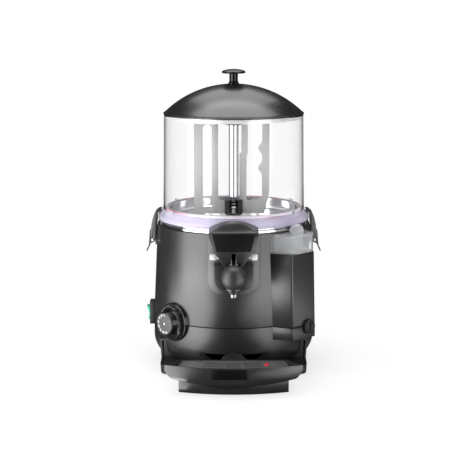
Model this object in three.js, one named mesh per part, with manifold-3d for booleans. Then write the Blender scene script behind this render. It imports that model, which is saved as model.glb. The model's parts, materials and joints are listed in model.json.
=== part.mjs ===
// Hot chocolate dispenser, 5 litre countertop machine.
// Millimetres, +Z up. The drum's axis is the centre of the inner group, the tap faces -Y.
// The outer group moves it so that the origin lies under the middle of the whole machine.

import * as THREE from 'three';
import { mergeVertices } from 'three/addons/utils/BufferGeometryUtils.js';
import Module from 'manifold-3d';

const wasm = await Module();
wasm.setup();

// Driving dimensions: the whole machine
const totalHeight = 465;
const latchSpan = 280;
const frontReach = 250;
const backReach = 160;

// Fits
const gap = 0.3;
const runningGap = 0.4;
const overrun = 6;
const mergeTolerance = 0.0001;

// Round steps
const drumSteps = 48;
const potSteps = 36;
const frontSteps = 96;
const knobSteps = 24;
const pinSteps = 12;

// Drum shells
const bodyBottom = 5;
const bodyCornerRadius = 36;
const seamRadius = 128;
const seamHeight = 76;
const shellTop = 221.2;
const shellTopRadius = 121.5;
const shellWall = 3;
const seamChamfer = 0.8;
const cornerSteps = 6;
const notchHalfWidth = 52;
const notchTop = 35.5;
const notchBottom = 14;
const notchDepth = 12;

// Water tank, a pot with a sleeve in the middle
const tankSheet = 1.2;
const tankRadius = 112.5;
const tankBottom = 130;
const tankRimRadius = 119.5;
const tankRimTop = 226.5;
const sleeveRadius = 10.7;
const sleeveTop = 215;

// Basin that holds the chocolate
const basinSheet = 1.2;
const basinFloor = 230;
const basinFloorRadius = 96;
const basinWallRadius = 101.5;
const basinWallFoot = 234;
const basinRimTop = 246;
const basinRimWidth = 3.5;
const basinFlangeRadius = 118;
const shaftHoleRadius = 5.2;

// Bowl
const bowlWall = 2.5;
const lidRise = 47.5;
const knobRise = 23;
const domeApex = totalHeight - knobRise;
const bowlTop = domeApex - lidRise;
const bowlTopRadius = 110.2;
const bowlFootRadius = 112;
const bowlFootHeight = 250;
const flangeRadius = 120;
const flangeEdgeTop = 236;
const flangeNeck = 242;
const lugAngle = 57;
const lugHalfWidth = 3.5;
const lugReach = 4;
const lugHeight = 12;

// Seal ring
const sealWidth = 3.6;
const sealTop = 247.4;
const sealLip = 1.4;

// Lid
const lidSheet = 1.5;
const domeRadius = 157;
const domeEdgeRadius = 109;
const lipRadius = 111.4;
const lipThickness = 2.5;
const domeSteps = 6;
const skirtRadius = 107;
const skirtHeight = 6;
const knobStemRadius = 6.9;
const knobBaseRadius = 8.5;
const knobBaseHeight = 2.6;
const knobScrewRadius = 2;
const knobScrewLength = 8;
const capRadius = 18.9;
const capHeight = 7.2;
const capEdge = 1.6;

// Agitator
const bladeThickness = 3.5;
const bladeBottom = 234;
const bladeHeadroom = 8.5;
const bladeTop = bowlTop - bladeHeadroom;
const leftOuter = 63;
const leftInner = 24.6;
const leftSlotOuter = 49;
const leftSlotInner = 34.7;
const slotBottom = 241.5;
const slotTop = bladeTop - bladeHeadroom;
const armTop = 256;
const armBend = 262;
const rightOuter = 57;
const rightArmUpperInner = 12.4;
const rightArmUpperOuter = 22.3;
const rightArmLowerInner = 9;
const rightArmLowerOuter = 20.5;
const jogShare = 0.591;
const openingOuter = 45.2;
const openingBottom = 255;
const openingSlant = 266;
const rightSlant = 268;
const rightFoot = 49;
const waveDepth = 6;
const waveShares = [1, 0.5, 0, -0.5, -1];
const waveHeightShare = 0.193;
const waveUpperShare = 0.683;
const waveLowerShare = 0.426;
const bridgeHeight = 6.5;
const bridgeBottom = bladeTop - bridgeHeight;
const hubRadius = 13.6;
const topHubHeight = 9;
const topHubBottom = bladeTop - topHubHeight;
const topHubShoulder = 3;
const topHubTopWall = 2;
const lowerHubBottom = 233.2;
const lowerHubTop = 256.5;
const lowerHubRadius = 14.5;
const hubWindowHalf = 7.2;
const hubWindowBottom = 239;
const hubWindowTop = 252;
const columnRadius = 7.85;
const columnWall = 2;
const columnTop = topHubBottom - gap;
const columnFootRadius = 12;
const columnFootHeight = 1.6;
const shaftRadius = 4.3;
const shaftTop = bladeTop - topHubTopWall;
const shaftBottom = 112;

// Drive and heating under the tank
const plateThickness = 2.4;
const plateRadius = 62;
const gearboxWidth = 78;
const gearboxDepth = 56;
const gearboxHeight = 32;
const motorRadius = 30;
const motorHeight = 62;
const motorEndRadius = 22;
const motorEndHeight = 6;
const heaterInner = 70;
const heaterOuter = 96;
const heaterHeight = 5;

// Tap
const panelHalfWidth = 40.7;
const panelBottom = 128;
const panelCorner = 25;
const panelRaise = 2;
const blockHalfWidth = 30;
const blockBottom = 141;
const blockCorner = 16;
const blockReach = 150;
const barrelReach = 158;
const barrelRadius = 12;
const boreRadius = 8.4;
const barrelBottom = 143;
const barrelFloor = 3;
const barrelTop = 174;
const capThickness = 2;
const pistonRadius = 8;
const pistonBottom = 147.5;
const pistonHeadTop = 162;
const pistonStemRadius = 3.5;
const clevisBottom = 176.9;
const clevisFloor = 1.5;
const clevisTop = 190.5;
const clevisSlotHalf = 3;
const clevisHalf = 6.2;
const clevisDepth = 5;
const crossPinHeight = 186.1;
const crossPinRadius = 1.8;
const springWire = 0.7;
const springRadius = 6;
const springTurns = 3;
const springStepsPerTurn = 10;
const outletHeight = 156;
const outletRadius = 8;
const outletBore = 5.5;
const outletLegReach = 95;
const nozzleHole = 4;
const collarRadius = 8.3;
const collarHeight = 5.2;
const spoutRadius = 4.8;
const spoutTipRadius = 4.2;
const spoutHeight = 6.4;
const spoutBore = 3;

// Tap head with lever
const headHalfWidth = 37.5;
const headCrown = 243;
const headShoulder = 231;
const headSideBottom = 226;
const headReach = 172;
const headWaist = 203;
const headWaistHalf = 28.5;
const headBottom = 179.5;
const headBottomHalf = 13.5;
const headBottomReach = 168;
const headTopReach = 150;
const headFrontTop = 233;
const headCavityHalf = 9.5;
const headCavityBack = 138.5;
const headCavityTop = 222;
const headWall = 3;
const headSlotHalf = 3.6;
const headSlotTop = 201.5;
const crownSteps = 10;
const plateTopHalf = 32.2;
const plateBottomHalf = 25.8;
const plateBottom = 204.2;
const plateTop = 231;
const plateDepth = 1;
const pinReach = 146;
const pinHeight = 191.5;
const pinRadius = 3;
const pinCapRadius = 4.8;
const pinCapInner = 27;
const pinCapOuter = 36;
const leverHubRadius = 6.8;
const leverHubHalf = 5;
const leverHalfThickness = 2.5;
const leverHalfHeight = 3.5;
const leverSlotStart = 9.7;
const leverSlotEnd = 15.6;
const leverSlotHalf = 2.4;
const ballReach = 194;
const ballHeight = 169.7;
const ballRadius = 18.7;
const leverGrip = 9;

// Thermostat dial
const dialAngle = 46.7;
const dialHeight = 77.5;
const bezelRadius = 30.3;
const bezelRingRadius = 28;
const bezelOuterReach = 133;
const bezelStepReach = 131.2;
const skirtDialRadius = 26;
const dialSkirtThickness = 2.6;
const dialRadius = 19;
const dialReach = 148;
const dialChamfer = 0.8;
const dialShaftRadius = 3;
const thermostatHalfWidth = 17;
const thermostatDepth = 24;
const thermostatReach = 122;

// Power switch
const switchHeight = 74.5;
const switchHalfHeight = 18;
const switchHalfWidth = 13;
const switchProud = 7;
const switchReach = seamRadius + switchProud;
const switchDepth = 31;
const switchInner = switchReach - switchDepth;
const switchNeckInset = 2.5;
const switchMouthHalfHeight = 12.6;
const switchMouthHalfWidth = 9;
const switchMouthDepth = 8;
const rockerHalfHeight = 11.2;
const rockerHalfWidth = 8.2;
const rockerProud = 3.8;
const rockerReach = switchReach + rockerProud;
const rockerDip = 2.2;
const rockerValley = rockerReach - rockerDip;
const rockerThickness = 8.4;
const rockerInner = rockerReach - rockerThickness;
const rockerLowHalf = 8;
const rockerPivotInset = 0.6;
const rockerPivotReach = rockerInner + rockerPivotInset;
const rockerTilt = 6;

// Side latches
const latchPivotReach = 129;
const latchPivotHeight = 207;
const latchLinkDrop = 13;
const latchRoom = 3.5;
const latchPinRadius = 2;
const linkPinRadius = 1.8;
const bracketHalfWidth = 9;
const bracketReach = latchPivotReach - latchRoom;
const bracketBelow = 21;
const bracketAbove = 9;
const lugHalf = 5.5;
const lugRadius = 2.7;
const cheekThickness = 3;
const cheekGap = 0.4;
const handleSheet = 2;
const handleDrop = 23;
const handleStandOff = 5;
const handleLean = 2;
const handleTopReach = latchPivotReach + handleStandOff;
const handleBottomReach = handleTopReach + handleLean;
const handleBottom = latchPivotHeight - handleDrop;
const tipDrop = 8.4;
const hookArmHalf = 1.5;
const hookEyeRadius = 3.4;
const hookSheet = 3;
const hookRise = 10;
const hookPinReach = 9.2;
const linkStubReach = 12.6;
const hookInner = [[1.2, -0.4], [-5.4, 5.9]];
const hookOuter = [[-3.4, 8.1], [4.2, 2]];
const handleInset = 3.2;
const cheekDrop = 16;
const cheekRise = 3;
const cheekBottom = latchPivotHeight - cheekDrop;
const cheekOuterBottom = handleBottom + cheekRise;
const handleTopRise = 1;

// Filler column, cup and drain
const columnAngle = 45;
const fillerBottom = 55.5;
const fillerReach = 155;
const fillerTopReach = 150.2;
const fillerHalfWidth = 25.5;
const fillerFlare = 0.36;
const fillerRoot = 108;
const fillerCorner = 3;
const fillerWall = 3;
const fillerShelf = 190;
const cupTop = 217;
const cupWall = 2.2;
const fillerLidThickness = 2.2;
const fillerCenter = 137;
const fillerHole = 4;
const fillerKnobRadius = 11;
const fillerKnobHeight = 15.5;
const fillerKnobWall = 1.6;
const fillerPipeHeight = 176;
const pipeRadius = 6;
const pipeBore = 4;
const drainShift = 8.5;
const drainHeight = 74;
const drainPlugRadius = 11.5;
const drainPlugThickness = 4.5;
const drainPlugRecess = 7;
const drainSlotHalf = 1.4;
const drainShankLength = 8;
const drainRise = 11;
const drainTankHeight = tankBottom + drainRise;

// Pedestal, base foot and feet
const footProtrusion = 2;
const pedestalHalfWidth = 113;
const pedestalTopHalf = 116;
const pedestalFront = 120;
const pedestalBack = 156;
const pedestalTop = 46.8;
const pedestalCorner = 14;
const pedestalWall = 3;
const pedestalFloor = 2.6;
const baseHalfWidth = 81.6;
const baseReach = 232.6;
const baseShell = 3;
const rubberRadius = 10;
const rubberTop = 4.7;
const rubberBossRadius = 14;
const rubberBossTop = 9;
const baseBossTop = 16.5;
const frontFootX = 60;
const frontFootReach = 200;
const backFootX = 92;
const backFootY = 132;

// Rear cover with its vents, cable gland and terminals
const coverHalfWidth = 78;
const coverTop = 205;
const coverCorner = 16;
const coverWall = 2.5;
const ventCount = 7;
const ventPitch = 11;
const ventHeight = 4.5;
const ventHalfWidth = 45;
const ventFirst = 96;

const glandX = 52;
const glandHeight = 28;
const glandRadius = 10;
const glandNeckRadius = 6.5;
const glandBore = 4;

// Drip tray, grille and float
const trayHalfWidth = 102;
const trayBackHalf = 82;
const trayBack = 132;
const trayFrontShoulder = 228;
const trayRim = 46;
const trayBackTop = 28.5;
const traySideFoot = 37;
const trayShoulderHalf = 92;
const trayShoulderHeight = 25.5;
const trayKeel = 15;
const trayFaceBottom = 28.6;
const trayUnderReach = 237;
const trayWall = 2.6;
const traySteps = 12;
const panelInsetHalf = 25;
const frontPanelShift = 5.5;
const frontPanelBottom = 29.6;
const frontPanelTop = 43.2;
const frontPanelDepth = 1;
const tabRadius = 22.3;
const tabCenter = 17.4;
const tabThickness = 2.4;
const grilleTop = 28;
const grilleThickness = 2.2;
const grilleSide = 1;
const slotPitch = 11;
const slotWidth = 5.6;
const slotFirst = 148;
const slotInset = 4;
const slotCount = 8;
const slotSteps = 4;
const slotEdges = [[-27.5, -17.6], [-15.4, -5.6], [-3.4, 3.4], [5.6, 15.4], [17.6, 27.5]];
const floatX = 50;
const floatReach = 162;
const floatRadius = 3.6;
const floatProud = 2.6;
const floatBottom = 22.6;
const floatHoleRadius = 4.2;

// Values that follow from the driving dimensions
const half = (length) => length / 2;
const radians = THREE.MathUtils.degToRad;
const shellSlope = (seamRadius - shellTopRadius) / (shellTop - seamHeight);
const shellRadiusAt = (z) => shellTopRadius + (shellTop - z) * shellSlope;
const capTop = totalHeight;
const stemTop = capTop - capHeight;
const domeCenter = domeApex - domeRadius;
const domeAt = (r) => domeCenter + Math.sqrt(domeRadius ** 2 - r ** 2);
const lipBottom = bowlTop + gap;
const handleTipReach = half(latchSpan);
const flangeBottom = tankRimTop + gap + basinSheet + gap;

// Turns a closed three.js geometry into a solid: shared corners merged, faces outwards.
function solid(geometry) {
  const bare = geometry.clone();
  bare.deleteAttribute('normal');
  bare.deleteAttribute('uv');
  const merged = mergeVertices(bare, mergeTolerance);
  const points = merged.attributes.position.array;
  const corners = merged.index.array;
  const faces = [];
  for (let i = 0; i < corners.length; i += 3) {
    const [a, b, c] = corners.slice(i, i + 3);
    if (a !== b && b !== c && c !== a) faces.push(a, b, c);
  }
  const corner = (i) => new THREE.Vector3().fromArray(points, 3 * i);
  let volume = 0;
  for (let i = 0; i < faces.length; i += 3) {
    volume += corner(faces[i]).dot(corner(faces[i + 1]).cross(corner(faces[i + 2])));
  }
  if (volume < 0) faces.reverse();
  return new wasm.Manifold(new wasm.Mesh({
    numProp: 3,
    vertProperties: new Float32Array(points),
    triVerts: new Uint32Array(faces),
  }));
}

// Places a geometry with its own x, y and z along three given directions.
function turned(geometry, x, y, z) {
  const basis = new THREE.Matrix4().makeBasis(
    new THREE.Vector3(...x), new THREE.Vector3(...y), new THREE.Vector3(...z));
  return geometry.applyMatrix4(basis);
}

// A profile of radius and height, turned about the vertical axis.
function revolved(profile, steps, x = 0, y = 0) {
  const points = profile.map(([r, z]) => new THREE.Vector2(r, z));
  const [first] = points;
  const last = points[points.length - 1];
  if (first.x > 0 || last.x > 0) points.push(first.clone());
  const lathe = new THREE.LatheGeometry(points, steps);
  turned(lathe, [1, 0, 0], [0, 0, 1], [0, -1, 0]);
  return solid(lathe.translate(x, y, 0));
}

// A flat outline pushed along Z, from one height to another.
function prismZ(outline, low, high) {
  const shape = new THREE.Shape(outline.map(([x, y]) => new THREE.Vector2(x, y)));
  const plate = new THREE.ExtrudeGeometry(shape, { depth: high - low, bevelEnabled: false });
  return solid(plate.translate(0, 0, low));
}

// An outline of x and z pushed along Y. Low and high are places on the y axis.
function prismY(outline, low, high) {
  const shape = new THREE.Shape(outline.map(([x, z]) => new THREE.Vector2(x, z)));
  const plate = new THREE.ExtrudeGeometry(shape, { depth: high - low, bevelEnabled: false });
  turned(plate, [1, 0, 0], [0, 0, 1], [0, -1, 0]);
  return solid(plate.translate(0, high, 0));
}

// An outline of y and z pushed along X.
function prismX(outline, low, high) {
  const shape = new THREE.Shape(outline.map(([y, z]) => new THREE.Vector2(y, z)));
  const plate = new THREE.ExtrudeGeometry(shape, { depth: high - low, bevelEnabled: false });
  turned(plate, [0, 1, 0], [0, 0, 1], [1, 0, 0]);
  return solid(plate.translate(low, 0, 0));
}

function block([x0, x1], [y0, y1], [z0, z1]) {
  const box = new THREE.BoxGeometry(x1 - x0, y1 - y0, z1 - z0);
  return solid(box.translate(half(x0 + x1), half(y0 + y1), half(z0 + z1)));
}

function rodZ(radius, low, high, x = 0, y = 0, steps = pinSteps) {
  return revolved([[0, low], [radius, low], [radius, high], [0, high]], steps, x, y);
}

function rodY(radius, low, high, x, z, steps = pinSteps) {
  const rod = new THREE.CylinderGeometry(radius, radius, high - low, steps);
  return solid(rod.translate(x, half(low + high), z));
}

function rodX(radius, low, high, y, z, steps = pinSteps) {
  const rod = new THREE.CylinderGeometry(radius, radius, high - low, steps);
  turned(rod, [0, 0, 1], [1, 0, 0], [0, 1, 0]);
  return solid(rod.translate(half(low + high), y, z));
}

// Corner points of a rectangle with round corners, centred on a point.
function roundedRectangle(halfWidth, low, high, radius, steps = 3) {
  const middles = [
    [halfWidth - radius, high - radius], [radius - halfWidth, high - radius],
    [radius - halfWidth, low + radius], [halfWidth - radius, low + radius],
  ];
  return middles.flatMap(([x, y], quarter) => arc(x, y, radius, 90 * quarter, 90 * quarter + 90, steps));
}

function arc(x, y, radius, from, to, steps) {
  return Array.from({ length: steps + 1 }, (_, i) => {
    const angle = radians(from + ((to - from) * i) / steps);
    return [x + radius * Math.cos(angle), y + radius * Math.sin(angle)];
  });
}

const mirrored = (outline) => [...outline, ...outline.map(([x, y]) => [-x, y]).reverse()];

// Turns a solid that was built facing -Y about the drum's axis: positive angles go to the right.
const aimed = (body, angle) => body.rotate([0, 0, angle]);

const root = new THREE.Group();
const machine = new THREE.Group();
machine.position.y = half(frontReach - backReach);
root.add(machine);

const finishes = {
  anthracite: { color: 0x3b3b3c, roughness: 0.42, metalness: 0 },
  black: { color: 0x141415, roughness: 0.5, metalness: 0 },
  gloss: { color: 0x0c0c0d, roughness: 0.15, metalness: 0 },
  steel: { color: 0xd0d2d4, roughness: 0.22, metalness: 1 },
  clear: { color: 0xeef0f2, roughness: 0.05, metalness: 0, transparent: true, opacity: 0.3 },
  seal: { color: 0xc8324e, roughness: 0.45, metalness: 0 },
  blade: { color: 0xc4c4c2, roughness: 0.55, metalness: 0 },
  pale: { color: 0xe4e4e0, roughness: 0.4, metalness: 0 },
  green: { color: 0x35b592, roughness: 0.25, metalness: 0 },
  red: { color: 0xe02540, roughness: 0.35, metalness: 0 },
  zinc: { color: 0x9a9da0, roughness: 0.45, metalness: 1 },
  rubber: { color: 0x101010, roughness: 0.9, metalness: 0 },
};

function addPart(name, body, finish) {
  const made = body.getMesh();
  const geometry = new THREE.BufferGeometry();
  geometry.setAttribute('position', new THREE.BufferAttribute(made.vertProperties, 3));
  geometry.setIndex(new THREE.BufferAttribute(made.triVerts, 1));
  geometry.computeVertexNormals();
  const mesh = new THREE.Mesh(geometry, new THREE.MeshStandardMaterial(finishes[finish]));
  mesh.name = name;
  machine.add(mesh);
}

// The filler column's outline: a trapezoid that flares towards the drum, leaning in with height.
function fillerBody(inset, low, high) {
  const reach = fillerReach - inset;
  const width = fillerHalfWidth - inset;
  const rootWidth = width + (reach - fillerRoot) * fillerFlare;
  const outline = mirrored([
    [rootWidth, -fillerRoot],
    [width, fillerCorner - reach],
    [width - fillerCorner, -reach],
  ]);
  const shape = new THREE.Shape(outline.map(([x, y]) => new THREE.Vector2(x, y)));
  const plate = new THREE.ExtrudeGeometry(shape, { depth: high - low, bevelEnabled: false });
  plate.translate(0, 0, low - fillerBottom);
  const lean = (fillerReach - fillerTopReach) / (shellTop - fillerBottom);
  plate.applyMatrix4(new THREE.Matrix4().makeShear(0, 0, 0, 0, 0, lean));
  return solid(plate.translate(0, 0, fillerBottom));
}

// The drum's outside, grown by a clearance: whatever stands against the drum is cut by it.
function drumEnvelope(clear) {
  const corner = arc(seamRadius - bodyCornerRadius, bodyBottom + bodyCornerRadius,
    bodyCornerRadius + clear, -90, 0, cornerSteps);
  return revolved([
    [0, bodyBottom - clear],
    ...corner,
    [seamRadius + clear, seamHeight],
    [shellTopRadius + clear, shellTop],
    [shellTopRadius + clear, shellTop + overrun],
    [0, shellTop + overrun],
  ], drumSteps);
}

function lowerShell() {
  const edge = seamHeight - half(gap);
  const middle = [seamRadius - bodyCornerRadius, bodyBottom + bodyCornerRadius];
  const outer = arc(...middle, bodyCornerRadius, -90, 0, cornerSteps);
  const inner = arc(...middle, bodyCornerRadius - shellWall, 0, -90, cornerSteps);
  const drum = revolved([
    [0, bodyBottom],
    ...outer,
    [seamRadius, edge - seamChamfer],
    [seamRadius - seamChamfer, edge],
    [seamRadius - shellWall, edge],
    ...inner,
    [0, bodyBottom + shellWall],
  ], drumSteps);
  const hollow = revolved([
    [0, bodyBottom + shellWall],
    ...inner.reverse(),
    [seamRadius - shellWall, seamHeight + overrun],
    [0, seamHeight + overrun],
  ], drumSteps);
  const column = aimed(fillerBody(0, fillerBottom, edge), columnAngle);
  const duct = aimed(fillerBody(fillerWall, fillerBottom + fillerWall, seamHeight + overrun), columnAngle);
  const notch = block([-notchHalfWidth, notchHalfWidth],
    [-seamRadius - overrun, notchDepth - seamRadius], [notchBottom, notchTop]);
  return drum.add(column.subtract(hollow)).subtract(duct.subtract(drumEnvelope(0)))
    .subtract(notch).subtract(drainPlugHole()).subtract(dialHole()).subtract(switchHole());
}

function upperShell() {
  const edge = seamHeight + half(gap);
  const drum = revolved([
    [seamRadius - seamChamfer, edge],
    [seamRadius, edge + seamChamfer],
    [shellTopRadius, shellTop],
    [shellTopRadius - shellWall, shellTop],
    [seamRadius - shellWall, edge],
  ], drumSteps);
  const hollow = revolved([
    [0, seamHeight - overrun],
    [seamRadius - shellWall, seamHeight - overrun],
    [seamRadius - shellWall, edge],
    [shellTopRadius - shellWall, shellTop],
    [0, shellTop],
  ], drumSteps);
  const column = aimed(fillerBody(0, edge, fillerShelf), columnAngle);
  const duct = aimed(fillerBody(fillerWall, seamHeight - overrun, fillerShelf - fillerWall), columnAngle);
  const filler = aimed(rodZ(pipeRadius + gap, fillerShelf - fillerWall - overrun,
    fillerShelf + overrun, 0, -fillerCenter), columnAngle);
  return drum.add(column.subtract(hollow)).subtract(duct.subtract(drumEnvelope(0)))
    .subtract(filler).subtract(wallPipes()).subtract(drainPlugHole())
    .subtract(dialHole()).subtract(switchHole()).subtract(outletTunnel());
}

// Round ways through the drum's wall for the filler, drain and outlet pipes.
function wallPipes() {
  const filler = rodY(pipeRadius + gap, -fillerCenter, -tankRadius + overrun, 0, fillerPipeHeight);
  const drain = rodY(pipeRadius + gap, -fillerCenter, -tankRadius + overrun, drainShift, drainTankHeight);
  return aimed(filler.add(drain), columnAngle);
}

const drainPlugHole = () =>
  aimed(rodY(pipeRadius + gap, -fillerReach - overrun, -fillerCenter, drainShift, drainHeight), columnAngle);
const outletTunnel = () =>
  rodY(outletRadius + gap, -barrelReach, -outletLegReach, 0, outletHeight);
const dialHole = () =>
  aimed(rodY(dialShaftRadius + 2 * gap, -dialReach, -thermostatHalfWidth, 0, dialHeight), -dialAngle);
const switchHole = () => block([-switchReach, -switchInner],
  [switchNeckInset - switchHalfWidth - gap, switchHalfWidth - switchNeckInset + gap],
  [switchHeight - switchHalfHeight + switchNeckInset - gap,
    switchHeight + switchHalfHeight - switchNeckInset + gap]);

function waterTank() {
  const pot = revolved([
    [sleeveRadius - tankSheet, tankBottom],
    [tankRadius, tankBottom],
    [tankRadius, shellTop + gap],
    [tankRimRadius, shellTop + gap],
    [tankRimRadius, tankRimTop],
    [tankRadius - tankSheet, tankRimTop],
    [tankRadius - tankSheet, tankBottom + tankSheet],
    [sleeveRadius, tankBottom + tankSheet],
    [sleeveRadius, sleeveTop],
    [sleeveRadius - tankSheet, sleeveTop],
  ], potSteps);
  return pot.subtract(outletTunnel()).subtract(wallPipes());
}

function chocolateBasin() {
  const flange = tankRimTop + gap;
  const outer = basinWallRadius + basinRimWidth;
  const dish = revolved([
    [shaftHoleRadius, basinFloor],
    [basinFloorRadius, basinFloor],
    [basinWallRadius, basinWallFoot],
    [basinWallRadius, basinRimTop],
    [outer, basinRimTop],
    [outer, flange + basinSheet],
    [basinFlangeRadius, flange + basinSheet],
    [basinFlangeRadius, flange],
    [outer - basinSheet, flange],
    [outer - basinSheet, basinRimTop - basinSheet],
    [basinWallRadius + basinSheet, basinRimTop - basinSheet],
    [basinWallRadius + basinSheet, basinWallFoot - half(basinSheet)],
    [basinFloorRadius + half(basinSheet), basinFloor - basinSheet],
    [shaftHoleRadius, basinFloor - basinSheet],
  ], potSteps);
  return dish.subtract(rodZ(outletBore, basinFloor - overrun, basinFloor + overrun, 0, -outletLegReach));
}

function sealRing() {
  const inner = basinWallRadius + basinRimWidth + gap;
  const bottom = flangeBottom;
  return revolved([
    [inner, bottom],
    [inner + sealWidth, bottom],
    [inner + sealWidth, sealTop - sealLip],
    [inner + sealWidth - sealLip, sealTop],
    [inner, sealTop],
  ], potSteps);
}

function bowl() {
  const innerFoot = bowlFootRadius - bowlWall;
  const wall = revolved([
    [innerFoot, flangeBottom],
    [flangeRadius, flangeBottom],
    [flangeRadius, flangeEdgeTop],
    [bowlFootRadius + half(bowlWall), flangeNeck],
    [bowlFootRadius, bowlFootHeight],
    [bowlTopRadius, bowlTop],
    [bowlTopRadius - bowlWall, bowlTop],
    [innerFoot, bowlFootHeight],
  ], drumSteps);
  const lug = block([-lugHalfWidth, lugHalfWidth],
    [-bowlFootRadius - lugReach, half(bowlWall) - bowlFootRadius],
    [flangeEdgeTop, flangeEdgeTop + lugHeight]);
  return [lugAngle, -lugAngle, 180 - lugAngle, lugAngle - 180]
    .reduce((body, angle) => body.add(aimed(lug, angle)), wall);
}

function lidDome() {
  const hole = knobScrewRadius + gap;
  const lipTop = lipBottom + lipThickness;
  const innerEdge = domeEdgeRadius - 2 * lidSheet;
  const curve = (from, to, drop) => Array.from({ length: domeSteps + 1 }, (_, i) => {
    const r = from + ((to - from) * i) / domeSteps;
    return [r, domeAt(r) - drop];
  });
  return revolved([
    ...curve(hole, domeEdgeRadius, 0),
    [domeEdgeRadius, lipTop],
    [lipRadius, lipTop],
    [lipRadius, lipBottom],
    [innerEdge, lipBottom],
    ...curve(innerEdge, hole, lidSheet),
  ], drumSteps);
}

function lidSkirt() {
  const top = lipBottom - gap;
  return revolved([
    [skirtRadius - lidSheet, top - skirtHeight],
    [skirtRadius, top - skirtHeight],
    [skirtRadius, top],
    [skirtRadius - lidSheet, top],
  ], drumSteps);
}

function knobStem() {
  const foot = domeApex + gap;
  return revolved([
    [0, foot - knobScrewLength],
    [knobScrewRadius, foot - knobScrewLength],
    [knobScrewRadius, foot],
    [knobBaseRadius, foot],
    [knobBaseRadius, foot + half(knobBaseHeight)],
    [knobStemRadius, foot + knobBaseHeight],
    [knobStemRadius, stemTop],
    [0, stemTop],
  ], knobSteps);
}

function knobCap() {
  const low = stemTop + gap;
  const crownShares = [[0.9, 0.45], [0.62, 0.78], [0.32, 0.95]];
  const height = capTop - low;
  return revolved([
    [0, low],
    [knobStemRadius, low],
    [capRadius - capEdge, low + half(capEdge)],
    [capRadius, low + capEdge],
    ...crownShares.map(([across, up]) => [capRadius * across, low + height * up]),
    [0, capTop],
  ], knobSteps);
}

// A wavy inner edge: two bumps that reach into the right blade's opening.
function waveEdge() {
  const tall = bridgeBottom - openingBottom;
  const bump = (middleShare) => waveShares.map((share) => [
    openingOuter - half(waveDepth) * (1 + Math.cos(Math.PI * share)),
    openingBottom + tall * (middleShare + half(waveHeightShare) * share),
  ]);
  return [...bump(waveUpperShare), ...bump(waveLowerShare)];
}

// Room for both hubs, so that a blade ends just short of them.
const hubRoom = () => rodZ(hubRadius + gap, topHubBottom - overrun, bladeTop + overrun, 0, 0, knobSteps)
  .add(rodZ(lowerHubRadius + gap, lowerHubBottom - overrun, lowerHubTop + gap, 0, 0, knobSteps));

function bladePlate(outline, opening) {
  const thick = half(bladeThickness);
  return prismY(outline, -thick, thick)
    .subtract(prismY(opening, -thick - overrun, thick + overrun))
    .subtract(hubRoom());
}

function leftBlade() {
  const hubSide = -half(hubRadius);
  const slotWide = half(leftSlotOuter - leftSlotInner);
  const slotMiddle = -half(leftSlotOuter + leftSlotInner);
  return bladePlate([
    [-leftOuter, bladeBottom], [hubSide, bladeBottom], [hubSide, armTop],
    [armBend - armTop - leftInner, armTop], [-leftInner, armBend],
    [-leftInner, bridgeBottom], [hubSide, bridgeBottom], [hubSide, bladeTop], [-leftOuter, bladeTop],
  ], [
    ...arc(slotMiddle, slotTop - slotWide, slotWide, 0, 180, 6),
    ...arc(slotMiddle, slotBottom + slotWide, slotWide, 180, 360, 6),
  ]);
}

function rightBlade() {
  const hubSide = half(hubRadius);
  const jog = rightArmUpperInner - rightArmLowerInner;
  const rightArmJog = armTop + jogShare * (bridgeBottom - armTop);
  return bladePlate([
    [hubSide, bladeBottom], [rightFoot, bladeBottom], [rightOuter, rightSlant],
    [rightOuter, bladeTop], [hubSide, bladeTop], [hubSide, bridgeBottom],
    [rightArmUpperInner, bridgeBottom], [rightArmUpperInner, rightArmJog],
    [rightArmLowerInner, rightArmJog - jog], [rightArmLowerInner, armTop], [hubSide, armTop],
  ], [
    [rightArmUpperOuter, bridgeBottom], [rightArmUpperOuter, rightArmJog],
    [rightArmLowerOuter, rightArmJog - jog], [rightArmLowerOuter, openingBottom + jog],
    [rightArmLowerOuter + jog, openingBottom], [openingOuter - 3 * jog, openingBottom],
    [openingOuter, openingSlant], ...waveEdge().reverse(), [openingOuter, bridgeBottom],
  ]);
}

function topHub() {
  return revolved([
    [shaftRadius + gap, topHubBottom],
    [hubRadius, topHubBottom],
    [hubRadius, bladeTop - topHubShoulder],
    [hubRadius - topHubShoulder, bladeTop],
    [0, bladeTop],
    [0, shaftTop + gap],
    [shaftRadius + gap, shaftTop + gap],
  ], knobSteps);
}

function lowerHub() {
  const ring = revolved([
    [columnRadius + runningGap, lowerHubBottom],
    [lowerHubRadius, lowerHubBottom],
    [lowerHubRadius, lowerHubTop],
    [columnRadius + runningGap, lowerHubTop],
  ], knobSteps);
  return ring.subtract(block([-hubWindowHalf, hubWindowHalf],
    [-lowerHubRadius - overrun, lowerHubRadius + overrun], [hubWindowBottom, hubWindowTop]));
}

function columnTube() {
  const bottom = basinFloor + gap;
  return revolved([
    [columnRadius - columnWall, bottom],
    [columnFootRadius, bottom],
    [columnFootRadius, bottom + columnFootHeight],
    [columnRadius, bottom + columnFootHeight],
    [columnRadius, columnTop],
    [columnRadius - columnWall, columnTop],
  ], knobSteps);
}

const driveShaft = () => rodZ(shaftRadius, shaftBottom, shaftTop, 0, 0, knobSteps);

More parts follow.
